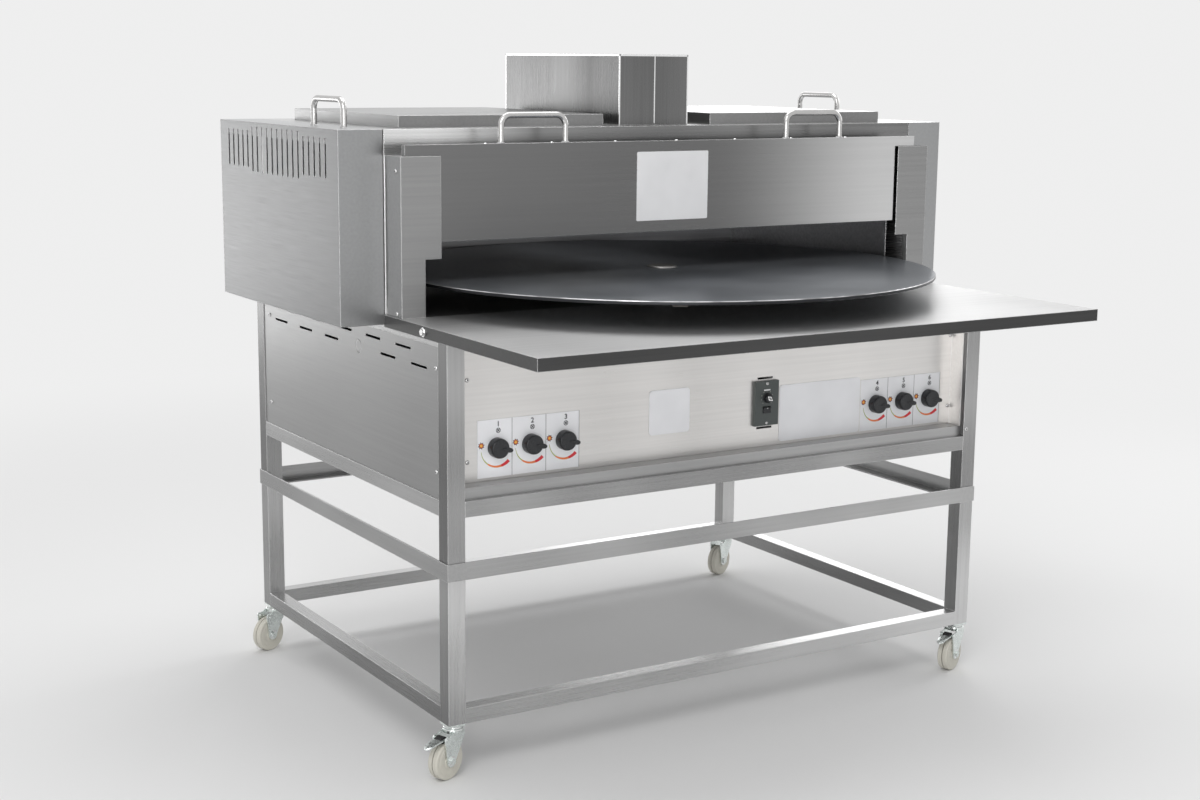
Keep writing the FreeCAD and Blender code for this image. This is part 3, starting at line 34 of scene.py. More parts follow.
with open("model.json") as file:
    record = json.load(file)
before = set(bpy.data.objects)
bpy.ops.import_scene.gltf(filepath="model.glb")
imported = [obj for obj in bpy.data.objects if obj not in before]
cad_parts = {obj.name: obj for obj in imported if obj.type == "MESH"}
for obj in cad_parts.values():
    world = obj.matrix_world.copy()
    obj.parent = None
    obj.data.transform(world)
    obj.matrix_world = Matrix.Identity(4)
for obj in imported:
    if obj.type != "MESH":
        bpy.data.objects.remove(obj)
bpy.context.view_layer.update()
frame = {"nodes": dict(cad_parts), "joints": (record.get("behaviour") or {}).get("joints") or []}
nodes = frame["nodes"]
joints = {joint["name"]: joint for joint in frame["joints"]}

X_AXIS = Vector((1, 0, 0))
Y_AXIS = Vector((0, 1, 0))
Z_AXIS = Vector((0, 0, 1))

# Camera, where the photograph was taken from
CAMERA_PLACE = Vector((-2.25477, -3.39906, 1.41271))
CAMERA_YAW = 0.55545
CAMERA_PITCH = -0.18384
CAMERA_ROLL = 0.00974
CAMERA_LENS = 54.91
SENSOR_WIDTH = 36.0

# Studio
PALE = 0.86
ROOM_LIGHT = 0.60
FLOOR_TONE = 0.80
FLOOR_RADIUS = 30.0
FLOOR_FADE_START = 1.4
FLOOR_FADE_END = 4.5
FLOOR_ROUGHNESS = 0.9
FLOOR_SHINE = 0.1
SKY_LOW_TONE = 0.55
MIDDLE = (0.0, 0.0, 0.9)
# Name, place, target, size and power of each lamp
LAMPS = (
    ("key_left", (-3.2, -3.0, 4.0), MIDDLE, (2.6, 2.6), 85.0),
    ("front_low", (-2.8, -4.6, 1.0), (0.0, -0.2, 0.7), (2.4, 1.6), 45.0),
    ("overhead", (0.2, 0.6, 4.2), MIDDLE, (3.4, 2.4), 60.0),
    ("right_side", (4.6, 0.8, 2.4), MIDDLE, (2.2, 2.2), 40.0),
    ("rear_left", (-2.3, 5.0, 0.8), (-0.9, 0.4, 0.9), (1.3, 1.5), 18.0),
    ("rear_right", (3.4, 4.2, 2.6), MIDDLE, (2.0, 2.0), 30.0),
)

# Surfaces
STREAK_ALONG = 2.5
STREAK_ACROSS = 170.0
GRAIN_ALONG = 12.0
GRAIN_ACROSS = 900.0
EDGE_RADIUS = 0.0022
EDGE_HIGHLIGHT_TONE = 0.95
FLAT_MATCH = 0.985
FOLD_MATCH = 0.80
FACING_START = 0.6
FACING_END = 0.8
NOISE_LOW = 0.3
NOISE_HIGH = 0.7
DARKEST = 0.60
BRIGHTEST = 1.40
TUBE_INNER_X = 0.6462
TUBE_MIDDLE_Y = 0.1735
TUBE_INNER_DEPTH = 0.449

# Knobs and the marks on their plates
KNOB_COUNT = 6
KNOB_RADIUS = 0.0205
KNOB_DEPTH = 0.020
KNOB_BACK_GAP = 0.0003
KNOB_STEM_RADIUS = 0.004
KNOB_STEM_LENGTH = 0.0165
NIB_REACH = 0.0274
NIB_TIP_RADIUS = 0.0042
NIB_ANGLE = -12.0
NIB_ROOT = (0.004, 0.0012)
NIB_SHOULDER = 0.0052
NIB_STEPS = 8
PLATE_TO_STEM = Vector((0.0035, 0.0, 0.0015))
MARK_THICK = 0.00012
INK_TONES = {"olive": (0.42, 0.46, 0.10), "orange": (0.86, 0.22, 0.06), "red": (0.72, 0.025, 0.035),
             "maroon": (0.10, 0.014, 0.014), "yellow": (0.95, 0.62, 0.10)}
PLATE_WIDTH = 0.078
PLATE_HEIGHT = 0.117
SEAM_WIDTH = 0.0010
ARC_CENTRE = (0.0035, -0.0005)
ARC_START = 188.0
ARC_END = 316.0
ARC_RADIUS_START = 0.0345
ARC_RADIUS_END = 0.0390
# Start, end, first width and last width of each colour of the heat scale
ARC_COLOURS = ((ARC_START, 238.0, 0.0009, 0.0024),
               (238.0, 287.0, 0.0030, 0.0046),
               (287.0, ARC_END, 0.0052, 0.0074))
STAR_PLACE = (-0.0305, 0.0075)
STAR_RADIUS = 0.0078
STAR_POINTS = 8
OFF_PLACE = (0.0078, 0.0355)
OFF_RADIUS = 0.0052
NUMBER_PLACE = (0.0078, 0.0440)
NUMBER_SIZE = 0.0145
NUMBER_WEIGHT = 0.00035

# Speed control
SPEED_X = 0.1105
SPEED_FRONT_Y = -0.2745
DIAL_Z = 0.6955
DIAL_BASE_RADIUS = 0.0112
DIAL_STEM_LENGTH = 0.0140
DIAL_FACE = 0.0108
DIAL_RIBS = 24
DIAL_TICKS = 9
DIAL_FIRST_ANGLE = 225.0
DIAL_SWEEP = 270.0
DOT_RING_RADIUS = 0.0155
DOT_RADIUS = 0.0008
POINTER_ANGLE = -40.0
POINTER_FOOT = 0.0100
POINTER_TOP = 0.0120
INDEX_BAR = (0.017, 0.0030, 0.7128)
BEZEL_SCREWS_Z = (0.7268, 0.6400)

# Door trim
DOOR_FRONT_Y = -0.1105
LABEL_X = (-0.127, 0.057)
LABEL_Z = (1.074, 1.221)
LABEL_THICK = 0.0006
RIVET_FIRST_X = -0.490
RIVET_PITCH = 0.155
RIVET_COUNT = 7
RIVET_Y = -0.1068
RIVET_RADIUS = 0.0034

# Chimney trim
TRIM_THICK = 0.0006
TRIM_WIDTH = 0.0022
INSIDE_INSET = 0.0009
HEM_DROP = 0.0022
HEM_HEIGHT = 0.0036
SEAM_ASIDE = 0.0018

# Side cover trim
LIP_LOW = 0.030
LIP_HIGH = 0.0030
LIP_GAP = 0.0019
LIP_THICK = 0.0010
LIP_FRONT = 0.045
LIP_REAR = 0.036

# Rods, screws and casters
ROD_RADIUS = 0.00635
SCREW_RADIUS = 0.0046
HEX_RADIUS = 0.0075
WASHER_RADIUS = 0.0098
WASHER_THICK = 0.0014
TRAIL_ANGLE = 22.0
AXLE_OUTER = 0.0175
# Name, height, radius and half thickness of each race ring
RACE_RINGS = (("lower", 0.0995, 0.0199, 0.0016), ("upper", 0.1040, 0.0192, 0.0017))
PEDAL_LENGTH = 0.048
PEDAL_SLOPE = 14.0
PEDAL_HALF_WIDTH = 0.0125
PEDAL_THICK = 0.0024
PEDAL_TAPER = 0.38
PEDAL_TAPER_START = 0.25
PEDAL_ROUND = 0.2
PEDAL_ARCH = 0.0022
PEDAL_TIP_RISE = 0.0020
PEDAL_CROWN = 0.0014
PEDAL_STEPS = 12
PEDAL_CROSS_STEPS = 8
BRAKE_PIN_RADIUS = 0.0024
CAM_RADIUS = 0.0066
CAM_LOBE = 0.0052
CAM_ANGLE = -8.0
CAM_HALF_WIDTH = 0.0085
CAM_STEPS = 24
CORNERS = ("front_left", "front_right", "rear_left", "rear_right")
SEGMENTS = 36


# Small helpers for objects and material nodes

def put(tree, kind, inputs=None, **settings):
    """Adds a node. Each input is a number, a colour or another node's output."""
    node = tree.nodes.new("ShaderNode" + kind)
    for name, value in settings.items():
        setattr(node, name, value)
    for name, value in (inputs or {}).items():
        if isinstance(value, bpy.types.NodeSocket):
            tree.links.new(value, node.inputs[name])
        else:
            node.inputs[name].default_value = value
    return node


def new_object(name, data):
    made = bpy.data.objects.new(name, data)
    bpy.context.scene.collection.objects.link(made)
    return made


def new_material(name):
    material = bpy.data.materials.new(name)
    material.use_nodes = True
    tree = material.node_tree
    return material, tree, tree.nodes["Principled BSDF"]


def object_place(tree):
    return put(tree, "TexCoord").outputs["Object"]


def noise(tree, place, stretch, detail):
    mapped = put(tree, "Mapping", {"Vector": place, "Scale": stretch}).outputs["Vector"]
    return put(tree, "TexNoise", {"Vector": mapped, "Scale": 1.0, "Detail": detail}).outputs["Fac"]


def remap(tree, value, low, high, to_low, to_high):
    return put(tree, "MapRange", {"Value": value, "From Min": low, "From Max": high,
                                  "To Min": to_low, "To Max": to_high}).outputs["Result"]


def calc(tree, first, second, operation="ADD"):
    return put(tree, "Math", {0: first, 1: second}, operation=operation).outputs[0]


def split(tree, vector):
    return put(tree, "SeparateXYZ", {"Vector": vector}).outputs


def absolute(tree, value):
    return put(tree, "Math", {0: value}, operation="ABSOLUTE").outputs[0]


def spread(tree, pattern, low, high):
    """Noise, which stays near its middle, stretched to run from low to high."""
    return remap(tree, pattern, NOISE_LOW, NOISE_HIGH, low, high)


def spread_sum(tree, first, second, low, high):
    """The same for the sum of two patterns."""
    return remap(tree, calc(tree, first, second), 2 * NOISE_LOW, 2 * NOISE_HIGH, low, high)


def dim(tree, tone, share):
    return put(tree, "VectorMath", {0: tone, "Scale": share}, operation="SCALE").outputs["Vector"]


def connect(tree, shader, tone, rough, bump, metallic):
    tree.links.new(tone, shader.inputs["Base Color"])
    tree.links.new(rough, shader.inputs["Roughness"])
    tree.links.new(bump.outputs["Normal"], shader.inputs["Normal"])
    shader.inputs["Metallic"].default_value = metallic


def mix_colours(tree, factor, first, second):
    return put(tree, "Mix", {0: factor, 6: first, 7: second}, data_type="RGBA").outputs[2]


def grey(value, warmth=0.0):
    """Grey with its red lifted and its blue lowered by the warmth."""
    return (value * (1 + warmth), value, value * (1 - warmth), 1.0)


def scaled(colour, factor):
    return (colour[0] * factor, colour[1] * factor, colour[2] * factor, 1.0)


def stretch_along(tree, place, grain, along, across):
    """Scale of a pattern that is drawn out along x, y or z, or along each tube of a frame."""
    runs = {}
    for index, axis in enumerate("xyz"):
        scale = [across, across, across]
        scale[index] = along
        runs[axis] = tuple(scale)
    if grain in runs:
        return runs[grain]
    parts = split(tree, place)
    reach = absolute(tree, parts["X"])
    beside = calc(tree, reach, TUBE_INNER_X, "GREATER_THAN")
    end = runs["y"]
    if grain == "posts":
        away = absolute(tree, calc(tree, parts["Y"], TUBE_MIDDLE_Y, "SUBTRACT"))
        at_post = calc(tree, away, TUBE_INNER_DEPTH, "GREATER_THAN")
        end = put(tree, "Mix", {0: at_post, 4: runs["y"], 5: runs["z"]}, data_type="VECTOR").outputs[1]
    return put(tree, "Mix", {0: beside, 4: runs["x"], 5: end}, data_type="VECTOR").outputs[1]


def worn_edges(tree, radius=EDGE_RADIUS):
    """Rounded normal, and a mask that is 1 on folds and corners, where the callers paint wear and a painted
    highlight.
    """
    bevel = put(tree, "Bevel", {"Radius": radius}, samples=4).outputs["Normal"]
    flat = put(tree, "NewGeometry").outputs["Normal"]
    match = put(tree, "VectorMath", {0: bevel, 1: flat}, operation="DOT_PRODUCT").outputs["Value"]
    return bevel, remap(tree, match, FLAT_MATCH, FOLD_MATCH, 0.0, 1.0)


def by_facing(tree, tone, side, top):
    """Tone scaled on faces that look along X and on faces that look along Z: painted light and shade by
    facing.
    """
    normal = put(tree, "TexCoord").outputs["Normal"]
    parts = split(tree, normal)
    level = 1.0
    for part, share in (("X", side), ("Z", top)):
        size = absolute(tree, parts[part])
        level = calc(tree, level, remap(tree, size, FACING_START, FACING_END, 1.0, share), "MULTIPLY")
    return dim(tree, tone, level)


# Finishes

def steel(name, colour, grain="x", roughness=0.28, bands=(2.2, 2.2, 1.0), band_depth=0.35, streak_depth=0.12,
          side=1.0, top=1.0, edge=0.8, painted_reflection_sweep=None):
    """Brushed stainless sheet: soft bands, faint streaks and a fine grain along one way, folds lightened by
    wear and a painted highlight.

    The sweep is a painted reflection: a slow change of tone along X, where it starts and ends, and its share
    at each end.
    """
    material, tree, shader = new_material(name)
    place = object_place(tree)
    soft = noise(tree, place, bands, 1.0)
    streak = noise(tree, place, stretch_along(tree, place, grain, STREAK_ALONG, STREAK_ACROSS), 3.0)
    fine = noise(tree, place, stretch_along(tree, place, grain, GRAIN_ALONG, GRAIN_ACROSS), 2.0)
    band_part = spread(tree, soft, 0.5 - band_depth / 2, 0.5 + band_depth / 2)
    streak_part = spread(tree, streak, -streak_depth / 2, streak_depth / 2)
    level = calc(tree, band_part, streak_part)
    tone = mix_colours(tree, level, scaled(colour, DARKEST), scaled(colour, BRIGHTEST))
    # Faces that look along X and along Z are made darker or lighter: painted shade and painted light.
    tone = by_facing(tree, tone, side, top)
    # The sweep paints a reflection as a slow change of tone along X.
    if painted_reflection_sweep:
        along = split(tree, place)["X"]
        share = put(tree, "MapRange", {"Value": along, "From Min": painted_reflection_sweep[0], "From Max": painted_reflection_sweep[1],
                                       "To Min": painted_reflection_sweep[2], "To Max": painted_reflection_sweep[3]},
                    interpolation_type="SMOOTHSTEP").outputs["Result"]
        tone = dim(tree, tone, share)
    bevel, fold = worn_edges(tree)
    fold = calc(tree, fold, edge, "MULTIPLY")
    # Folds and corners lightened towards near white: wear and a painted highlight.
    tone = mix_colours(tree, fold, tone, grey(EDGE_HIGHLIGHT_TONE))
    rough = spread_sum(tree, soft, fine, roughness - 0.06, roughness + 0.08)
    bump = put(tree, "Bump", {"Strength": 0.10, "Distance": 0.0003, "Height": fine, "Normal": bevel})
    connect(tree, shader, tone, rough, bump, 1.0)
    return material


def sooted_steel(name, colour, low, high, **settings):
    """Brushed sheet that is made near black between two corners, inside a flue."""
    material = steel(name, colour, **settings)
    tree = material.node_tree
    shader = tree.nodes["Principled BSDF"]
    clean = shader.inputs["Base Color"].links[0].from_socket
    parts = split(tree, object_place(tree))
    inside = 1.0
    for axis, part in enumerate("XY"):
        middle = (low[axis] + high[axis]) / 2
        half = (high[axis] - low[axis]) / 2 - INSIDE_INSET
        away = absolute(tree, calc(tree, parts[part], middle, "SUBTRACT"))
        inside = calc(tree, inside, calc(tree, away, half, "LESS_THAN"), "MULTIPLY")
    # Inside the flue the tone is made near black, with a mottle.
    inside_mottle = noise(tree, object_place(tree), (18.0, 18.0, 6.0), 4.0)
    dark = mix_colours(tree, inside_mottle, (0.012, 0.011, 0.010, 1.0), (0.07, 0.062, 0.055, 1.0))
    tree.links.new(mix_colours(tree, inside, clean, dark), shader.inputs["Base Color"])
    return material


def moulded(name, colour, roughness=0.45, speckle=900.0, bump_strength=0.08, edge=0.25):
    """Moulded or painted skin with a fine grain and uneven gloss."""
    material, tree, shader = new_material(name)
    place = object_place(tree)
    fine = noise(tree, place, (speckle,) * 3, 2.0)
    broad = noise(tree, place, (14.0,) * 3, 2.0)
    tone = mix_colours(tree, broad, scaled(colour, 0.90), scaled(colour, 1.06))
    bevel, fold = worn_edges(tree, 0.0008)
    # Folds and corners lightened: wear and a painted highlight.
    tone = mix_colours(tree, calc(tree, fold, edge, "MULTIPLY"), tone, scaled(colour, 1.6))
    rough = spread_sum(tree, fine, broad, roughness - 0.08, roughness + 0.08)
    bump = put(tree, "Bump", {"Strength": bump_strength, "Distance": 0.0003, "Height": fine, "Normal": bevel})
    connect(tree, shader, tone, rough, bump, 0.0)
    return material


def cast_metal(name, colour, roughness, grain):
    """Cast, plated or drawn metal with a grainy skin and dull patches."""
    material, tree, shader = new_material(name)
    place = object_place(tree)
    cells = put(tree, "TexVoronoi", {"Vector": place, "Scale": grain}).outputs["Distance"]
    patches = noise(tree, place, (22.0,) * 3, 3.0)
    tone = mix_colours(tree, patches, scaled(colour, 0.72), scaled(colour, 1.22))
    bevel, fold = worn_edges(tree, 0.001)
    # Folds and corners lightened: wear and a painted highlight.
    tone = mix_colours(tree, calc(tree, fold, 0.5, "MULTIPLY"), tone, scaled(colour, 1.5))
    rough = remap(tree, calc(tree, cells, patches), 0.4, 1.6, roughness - 0.1, roughness + 0.1)
    bump = put(tree, "Bump", {"Strength": 0.1, "Distance": 0.0004, "Height": cells, "Normal": bevel})
    connect(tree, shader, tone, rough, bump, 1.0)
    return material


def wool_board(name):
    """Pressed mineral fibre: a mat of short fibres with a few darker clumps."""
    material, tree, shader = new_material(name)
    place = object_place(tree)
    fibres = noise(tree, place, (60.0, 420.0, 420.0), 6.0)
    clumps = noise(tree, place, (25.0,) * 3, 3.0)
    tone = mix_colours(tree, calc(tree, fibres, clumps, "MULTIPLY"), (0.42, 0.36, 0.26, 1.0),
                       (0.85, 0.80, 0.66, 1.0))
    bump = put(tree, "Bump", {"Strength": 0.5, "Distance": 0.0015, "Height": fibres})
    shader.inputs["Roughness"].default_value = 0.95
    tree.links.new(tone, shader.inputs["Base Color"])
    tree.links.new(bump.outputs["Normal"], shader.inputs["Normal"])
    return material


def turned_plate(name, low, high):
    """Heat-darkened plate: rings from turning, cloudy heat marks, a painted dark band of shade round its rim,
    and a fine line of wear and painted highlight on its upper rim.
    """
    material, tree, shader = new_material(name)
    centre_y = (low.y + high.y) / 2
    radius = (high.x - low.x) / 2
    place = object_place(tree)
    centred = put(tree, "VectorMath", {0: place, 1: (0.0, -centre_y, 0.0)}, operation="ADD").outputs["Vector"]
    flat = put(tree, "VectorMath", {0: centred, 1: (1.0, 1.0, 0.0)}, operation="MULTIPLY").outputs["Vector"]
    reach = put(tree, "VectorMath", {0: flat}, operation="LENGTH").outputs["Value"]
    height = split(tree, place)["Z"]
    ring_place = put(tree, "CombineXYZ", {"X": reach}).outputs["Vector"]
    rings = noise(tree, ring_place, (420.0, 1.0, 1.0), 3.0)
    clouds = noise(tree, place, (3.0,) * 3, 4.0)
    level = calc(tree, spread(tree, clouds, 0.15, 0.85), spread(tree, rings, -0.15, 0.15))
    tone = mix_colours(tree, level, (0.150, 0.164, 0.186, 1.0), (0.34, 0.355, 0.375, 1.0))
    uneven = noise(tree, place, (16.0,) * 3, 3.0)
    rim = remap(tree, reach, radius - 0.0022, radius - 0.0006, 0.0, 1.0)
    upper = remap(tree, height, high.z - 0.0022, high.z - 0.0012, 0.0, 1.0)
    wear_and_highlight_line = calc(tree, calc(tree, rim, upper, "MULTIPLY"), remap(tree, uneven, 0.35, 0.6, 0.35, 1.0),
                "MULTIPLY")
    # The outer rim and the plate's side are painted near black: painted shade.
    tone = mix_colours(tree, rim, tone, (0.030, 0.031, 0.034, 1.0))
    # A thin light line on the upper rim: wear and a painted highlight.
    tone = mix_colours(tree, wear_and_highlight_line, tone, (0.72, 0.72, 0.73, 1.0))
    rough = spread_sum(tree, rings, clouds, 0.26, 0.42)
    bump = put(tree, "Bump", {"Strength": 0.1, "Distance": 0.0004, "Height": rings})
    connect(tree, shader, tone, rough, bump, 0.85)
    return material


def polished(name, colour, roughness):
    """Polished bent rod with faint drawing lines and handling marks."""
    material, tree, shader = new_material(name)
    place = object_place(tree)
    marks = noise(tree, place, (45.0,) * 3, 4.0)
    tone = mix_colours(tree, marks, scaled(colour, 0.88), scaled(colour, 1.08))
    rough = spread(tree, marks, roughness - 0.05, roughness + 0.09)
    bump = put(tree, "Bump", {"Strength": 0.05, "Distance": 0.0003, "Height": marks})
    connect(tree, shader, tone, rough, bump, 1.0)
    return material


# All the steel finishes below are one brushed stainless: their tones and their side and top shares are set
# part by part as painted light and shade.
finishes = {
    "tube": steel("tube_brushed", grey(0.56), "posts", 0.28, (1.5, 1.5, 3.5), 0.6, side=0.50),
    "post": steel("post_brushed", grey(0.36), "z", 0.28, (1.5, 1.5, 3.5), 0.6, side=0.40),
    "tube_x": steel("tube_brushed_x", grey(0.36), "rails", 0.28, (3.0, 1.5, 1.5), 0.5, top=1.5),
    "rim": steel("rim_brushed", grey(0.42), "rails", 0.30, (2.5, 2.5, 1.5), 0.5, side=0.75),
    "panel": steel("panel_brushed", grey(0.70, 0.02), "x", 0.32, (4.0, 4.0, 0.5), 0.22, 0.08),
    "side_panel": steel("side_panel_brushed", grey(0.265), "y", 0.32, (3.0, 1.6, 0.9), 0.3, 0.08),
    "cover": steel("cover_brushed", grey(0.37, -0.01), "y", 0.32, (3.0, 1.6, 0.9), 0.35, 0.10,
                   side=0.36, top=1.3),
    "guide": steel("guide_brushed", grey(0.32), "x", 0.30, (3.0, 3.0, 1.0), 0.25, 0.12, side=0.9),
    # The door's dark tone and its sweep, lighter to the right, are painted reflection.
    "door": steel("door_brushed", grey(0.19), "x", 0.32, (1.2, 1.2, 1.2), 0.25, 0.06,
                  painted_reflection_sweep=(0.05, 0.60, 1.0, 3.2)),
    # The fascia's sweep, lighter to the left, is painted reflection.
    "fascia": steel("fascia_brushed", grey(0.24), "x", 0.27, (3.0, 3.0, 1.0), 0.5, 0.2,
                    painted_reflection_sweep=(-0.62, -0.30, 3.4, 1.0)),
    "deck": steel("deck_brushed", grey(0.55), "x", 0.30, (2.0, 2.0, 1.0), 0.4, 0.15),
    "skin": steel("skin_brushed", grey(0.46), "y", 0.34, (2.0, 2.0, 1.0), 0.4, 0.12, side=0.20),
    "lid": steel("lid_brushed", grey(0.26), "y", 0.30, (3.0, 3.0, 1.0), 0.4, 0.15, top=1.35),
    "chimney": sooted_steel("chimney_brushed", grey(0.17), *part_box("chimney"), grain="z", roughness=0.26,
                            bands=(3.0, 6.0, 0.8), band_depth=0.8, streak_depth=0.15, side=1.05),
    # The shelf's near-black edges and its top lifted 8.4 times are painted shade and painted light.
    "shelf": steel("shelf_brushed", grey(0.08), "x", 0.45, (2.0, 2.0, 2.0), 0.3, 0.12, top=8.4),
    "cavity": steel("cavity_scaled", (0.42, 0.42, 0.43), "x", 0.34, (2.5, 2.5, 2.5), 0.7, 0.3, edge=0.3),
    "floor_sheet": steel("floor_sheet_brushed", grey(0.40), "x", 0.34, (2.0, 2.0, 2.0), 0.5, 0.3),
    "pan": steel("pan_brushed", grey(0.40), "x", 0.34),
    "bracket": steel("bracket_steel", grey(0.38), "x", 0.38),
    "plate": turned_plate("plate_turned", *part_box("turn_plate")),
    "cap": steel("cap_turned", grey(0.30, 0.03), "x", 0.42, edge=0.2),
    "bright": polished("trim_bright", grey(0.90), 0.20),
    "rod": polished("rod_polished", grey(0.56, 0.01), 0.22),
    "bolt": polished("bolt_bright", grey(0.70), 0.22),
    "white": moulded("plate_white", (0.93, 0.935, 0.96), 0.36, 700.0, 0.02, edge=0.0),
    "label": moulded("label_white", (0.86, 0.86, 0.87), 0.34, 700.0, 0.02, edge=0.0),
    "grey_plastic": moulded("bezel_grey", (0.070, 0.080, 0.078), 0.42),
    "black_plastic": moulded("knob_black", (0.014, 0.015, 0.018), 0.27),
    "soft_black": moulded("rubber_black", (0.010, 0.010, 0.011), 0.60),
    "nylon": moulded("wheel_nylon", (0.62, 0.60, 0.53), 0.46, 500.0, 0.06),
    # The groove's dark brown is painted shade.
    "groove": moulded("groove_painted_shade", (0.060, 0.040, 0.028), 0.60, 500.0, 0.06),
    "zinc": cast_metal("zinc_plated", (0.80, 0.85, 0.83), 0.28, 180.0),
    "brass": cast_metal("brass_turned", (0.62, 0.44, 0.17), 0.32, 300.0),
    "pipe": polished("pipe_steel", (0.55, 0.40, 0.30), 0.3),
    "burner": cast_metal("burner_iron", (0.10, 0.095, 0.09), 0.6, 420.0),
    "painted": moulded("frame_painted", (0.10, 0.11, 0.12), 0.5, 400.0, 0.1),
    "aluminium": cast_metal("gearbox_cast", (0.55, 0.56, 0.57), 0.48, 240.0),
    "wool": wool_board("wool_board"),
    "ink_black": moulded("ink_black", (0.02, 0.02, 0.025), 0.45, edge=0.0),
    "seam": moulded("seam_shadow", (0.16, 0.16, 0.17), 0.60, edge=0.0),
    "silver": polished("pointer_silver", grey(0.92), 0.25),
    "dot": moulded("dial_dot", (0.55, 0.55, 0.48), 0.45, edge=0.0),
}
for ink, tone in INK_TONES.items():
    finishes["ink_" + ink] = moulded("ink_" + ink, tone, 0.40, edge=0.0)

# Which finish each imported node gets
DRESS = {
    "stand_frame": "tube", "stand_rim": "rim", "caster_mounts": "zinc", "base_posts": "post",
    "base_rails": "tube_x", "base_pan": "pan", "side_panels": "side_panel", "rear_panel": "panel",
    "power_inlet": "black_plastic", "control_panel": "panel", "panel_plates": "white",
    "speed_box": "grey_plastic", "speed_dial": "black_plastic", "rocker": "black_plastic",
    "screws": "bolt", "shelf": "shelf", "gas_valves": "brass", "gas_manifold": "pipe", "gas_pipes": "pipe",
    "burners": "burner", "drive_frame": "painted", "spindle_bearing": "bracket", "gearmotor": "aluminium",
    "spindle": "bracket", "plate_hub": "burner", "turn_plate": "plate", "centre_cap": "cap",
    "cavity_floor": "floor_sheet", "cavity_walls": "cavity", "cavity_ceiling": "cavity",
    "insulation": "wool", "body_skins": "skin", "top_deck": "deck", "fascia": "fascia",
    "lid_left": "lid", "lid_right": "lid", "chimney": "chimney", "cover_left": "cover",
    "cover_right": "cover", "cover_handle_left": "rod", "cover_handle_right": "rod",
    "door_guides": "guide", "door": "door", "door_handles": "rod",
}
for corner in CORNERS:
    DRESS["fork_" + corner] = "zinc"
    DRESS["wheel_" + corner] = "nylon"
for corner in CORNERS[:2]:
    DRESS["pedal_" + corner] = "zinc"
for number in range(1, KNOB_COUNT + 1):
    DRESS["knob_" + str(number)] = "black_plastic"


def dress_nodes():
    for name, finish in DRESS.items():
        for material_slot in nodes[name].material_slots:
            material_slot.material = finishes[finish]


# Mesh helpers. A place is a matrix whose third axis points out of the surface.

def facing(origin, right, up):
    turn = Matrix((right, up, right.cross(up))).transposed()
    return Matrix.Translation(Vector(origin)) @ turn.to_4x4()


def on_front(x, y, z):
    """Place on a face that looks to -Y."""
    return facing((x, y, z), X_AXIS, Z_AXIS)


def add_ring(bm, points, place, height):
    return [bm.verts.new(place @ Vector((a, b, height))) for a, b in points]


def add_faces(bm, corner_sets, finish_index):
    for corners in corner_sets:
        bm.faces.new(corners).material_index = finish_index


def join_rings(bm, low, high, finish_index):
    count = len(low)
    add_faces(bm, [(low[i], low[(i + 1) % count], high[(i + 1) % count], high[i]) for i in range(count)],
              finish_index)


def add_prism(bm, outline, start, end, place, finish_index=0):
    """Closed outline in the place's plane, drawn out between two heights."""
    low = add_ring(bm, outline, place, start)
    high = add_ring(bm, outline, place, end)
    add_faces(bm, [list(reversed(low)), high], finish_index)
    join_rings(bm, low, high, finish_index)


def add_band(bm, inner, outer, start, end, place, finish_index=0):
    """Open band between two rows of points, drawn out between two heights."""
    rows = [add_ring(bm, points, place, height) for height in (start, end) for points in (inner, outer)]
    low_in, low_out, high_in, high_out = rows
    for i in range(len(inner) - 1):
        add_faces(bm, [(low_in[i], low_in[i + 1], low_out[i + 1], low_out[i]),
                       (high_in[i], high_out[i], high_out[i + 1], high_in[i + 1]),
                       (low_in[i], high_in[i], high_in[i + 1], low_in[i + 1]),
                       (low_out[i], low_out[i + 1], high_out[i + 1], high_out[i])], finish_index)
    for i in (0, -1):
        add_faces(bm, [(low_in[i], low_out[i], high_out[i], high_in[i])], finish_index)


def add_lathe(bm, profile, place, finish_index=0, segments=SEGMENTS):
    """Profile of (radius, height) turned about the place's third axis. It is closed if both ends are at 0."""
    steps = range(segments)
    turns = [2 * math.pi * i / segments for i in steps]
    rings = []
    for radius, height in profile:
        if radius == 0.0:
            rings.append([bm.verts.new(place @ Vector((0, 0, height)))])
            continue
        points = [(radius * math.cos(a), radius * math.sin(a)) for a in turns]
        rings.append(add_ring(bm, points, place, height))
    for low, high in zip(rings, rings[1:]):
        if len(low) == 1:
            add_faces(bm, [(low[0], high[(i + 1) % segments], high[i]) for i in steps], finish_index)
        elif len(high) == 1:
            add_faces(bm, [(low[i], low[(i + 1) % segments], high[0]) for i in steps], finish_index)
        else:
            join_rings(bm, low, high, finish_index)


def add_rod(bm, radius, start, end, place):
    """Round rod along the place's third axis, between two heights."""
    add_lathe(bm, [(0.0, start), (radius, start), (radius, end), (0.0, end)], place)


def add_collar(bm, section, place, finish_index=0, segments=SEGMENTS):
    """Closed section of (radius, height) turned about the place's third axis."""
    add_lathe(bm, section + [section[0]], place, finish_index, segments)
    bmesh.ops.remove_doubles(bm, verts=bm.verts, dist=1e-7)


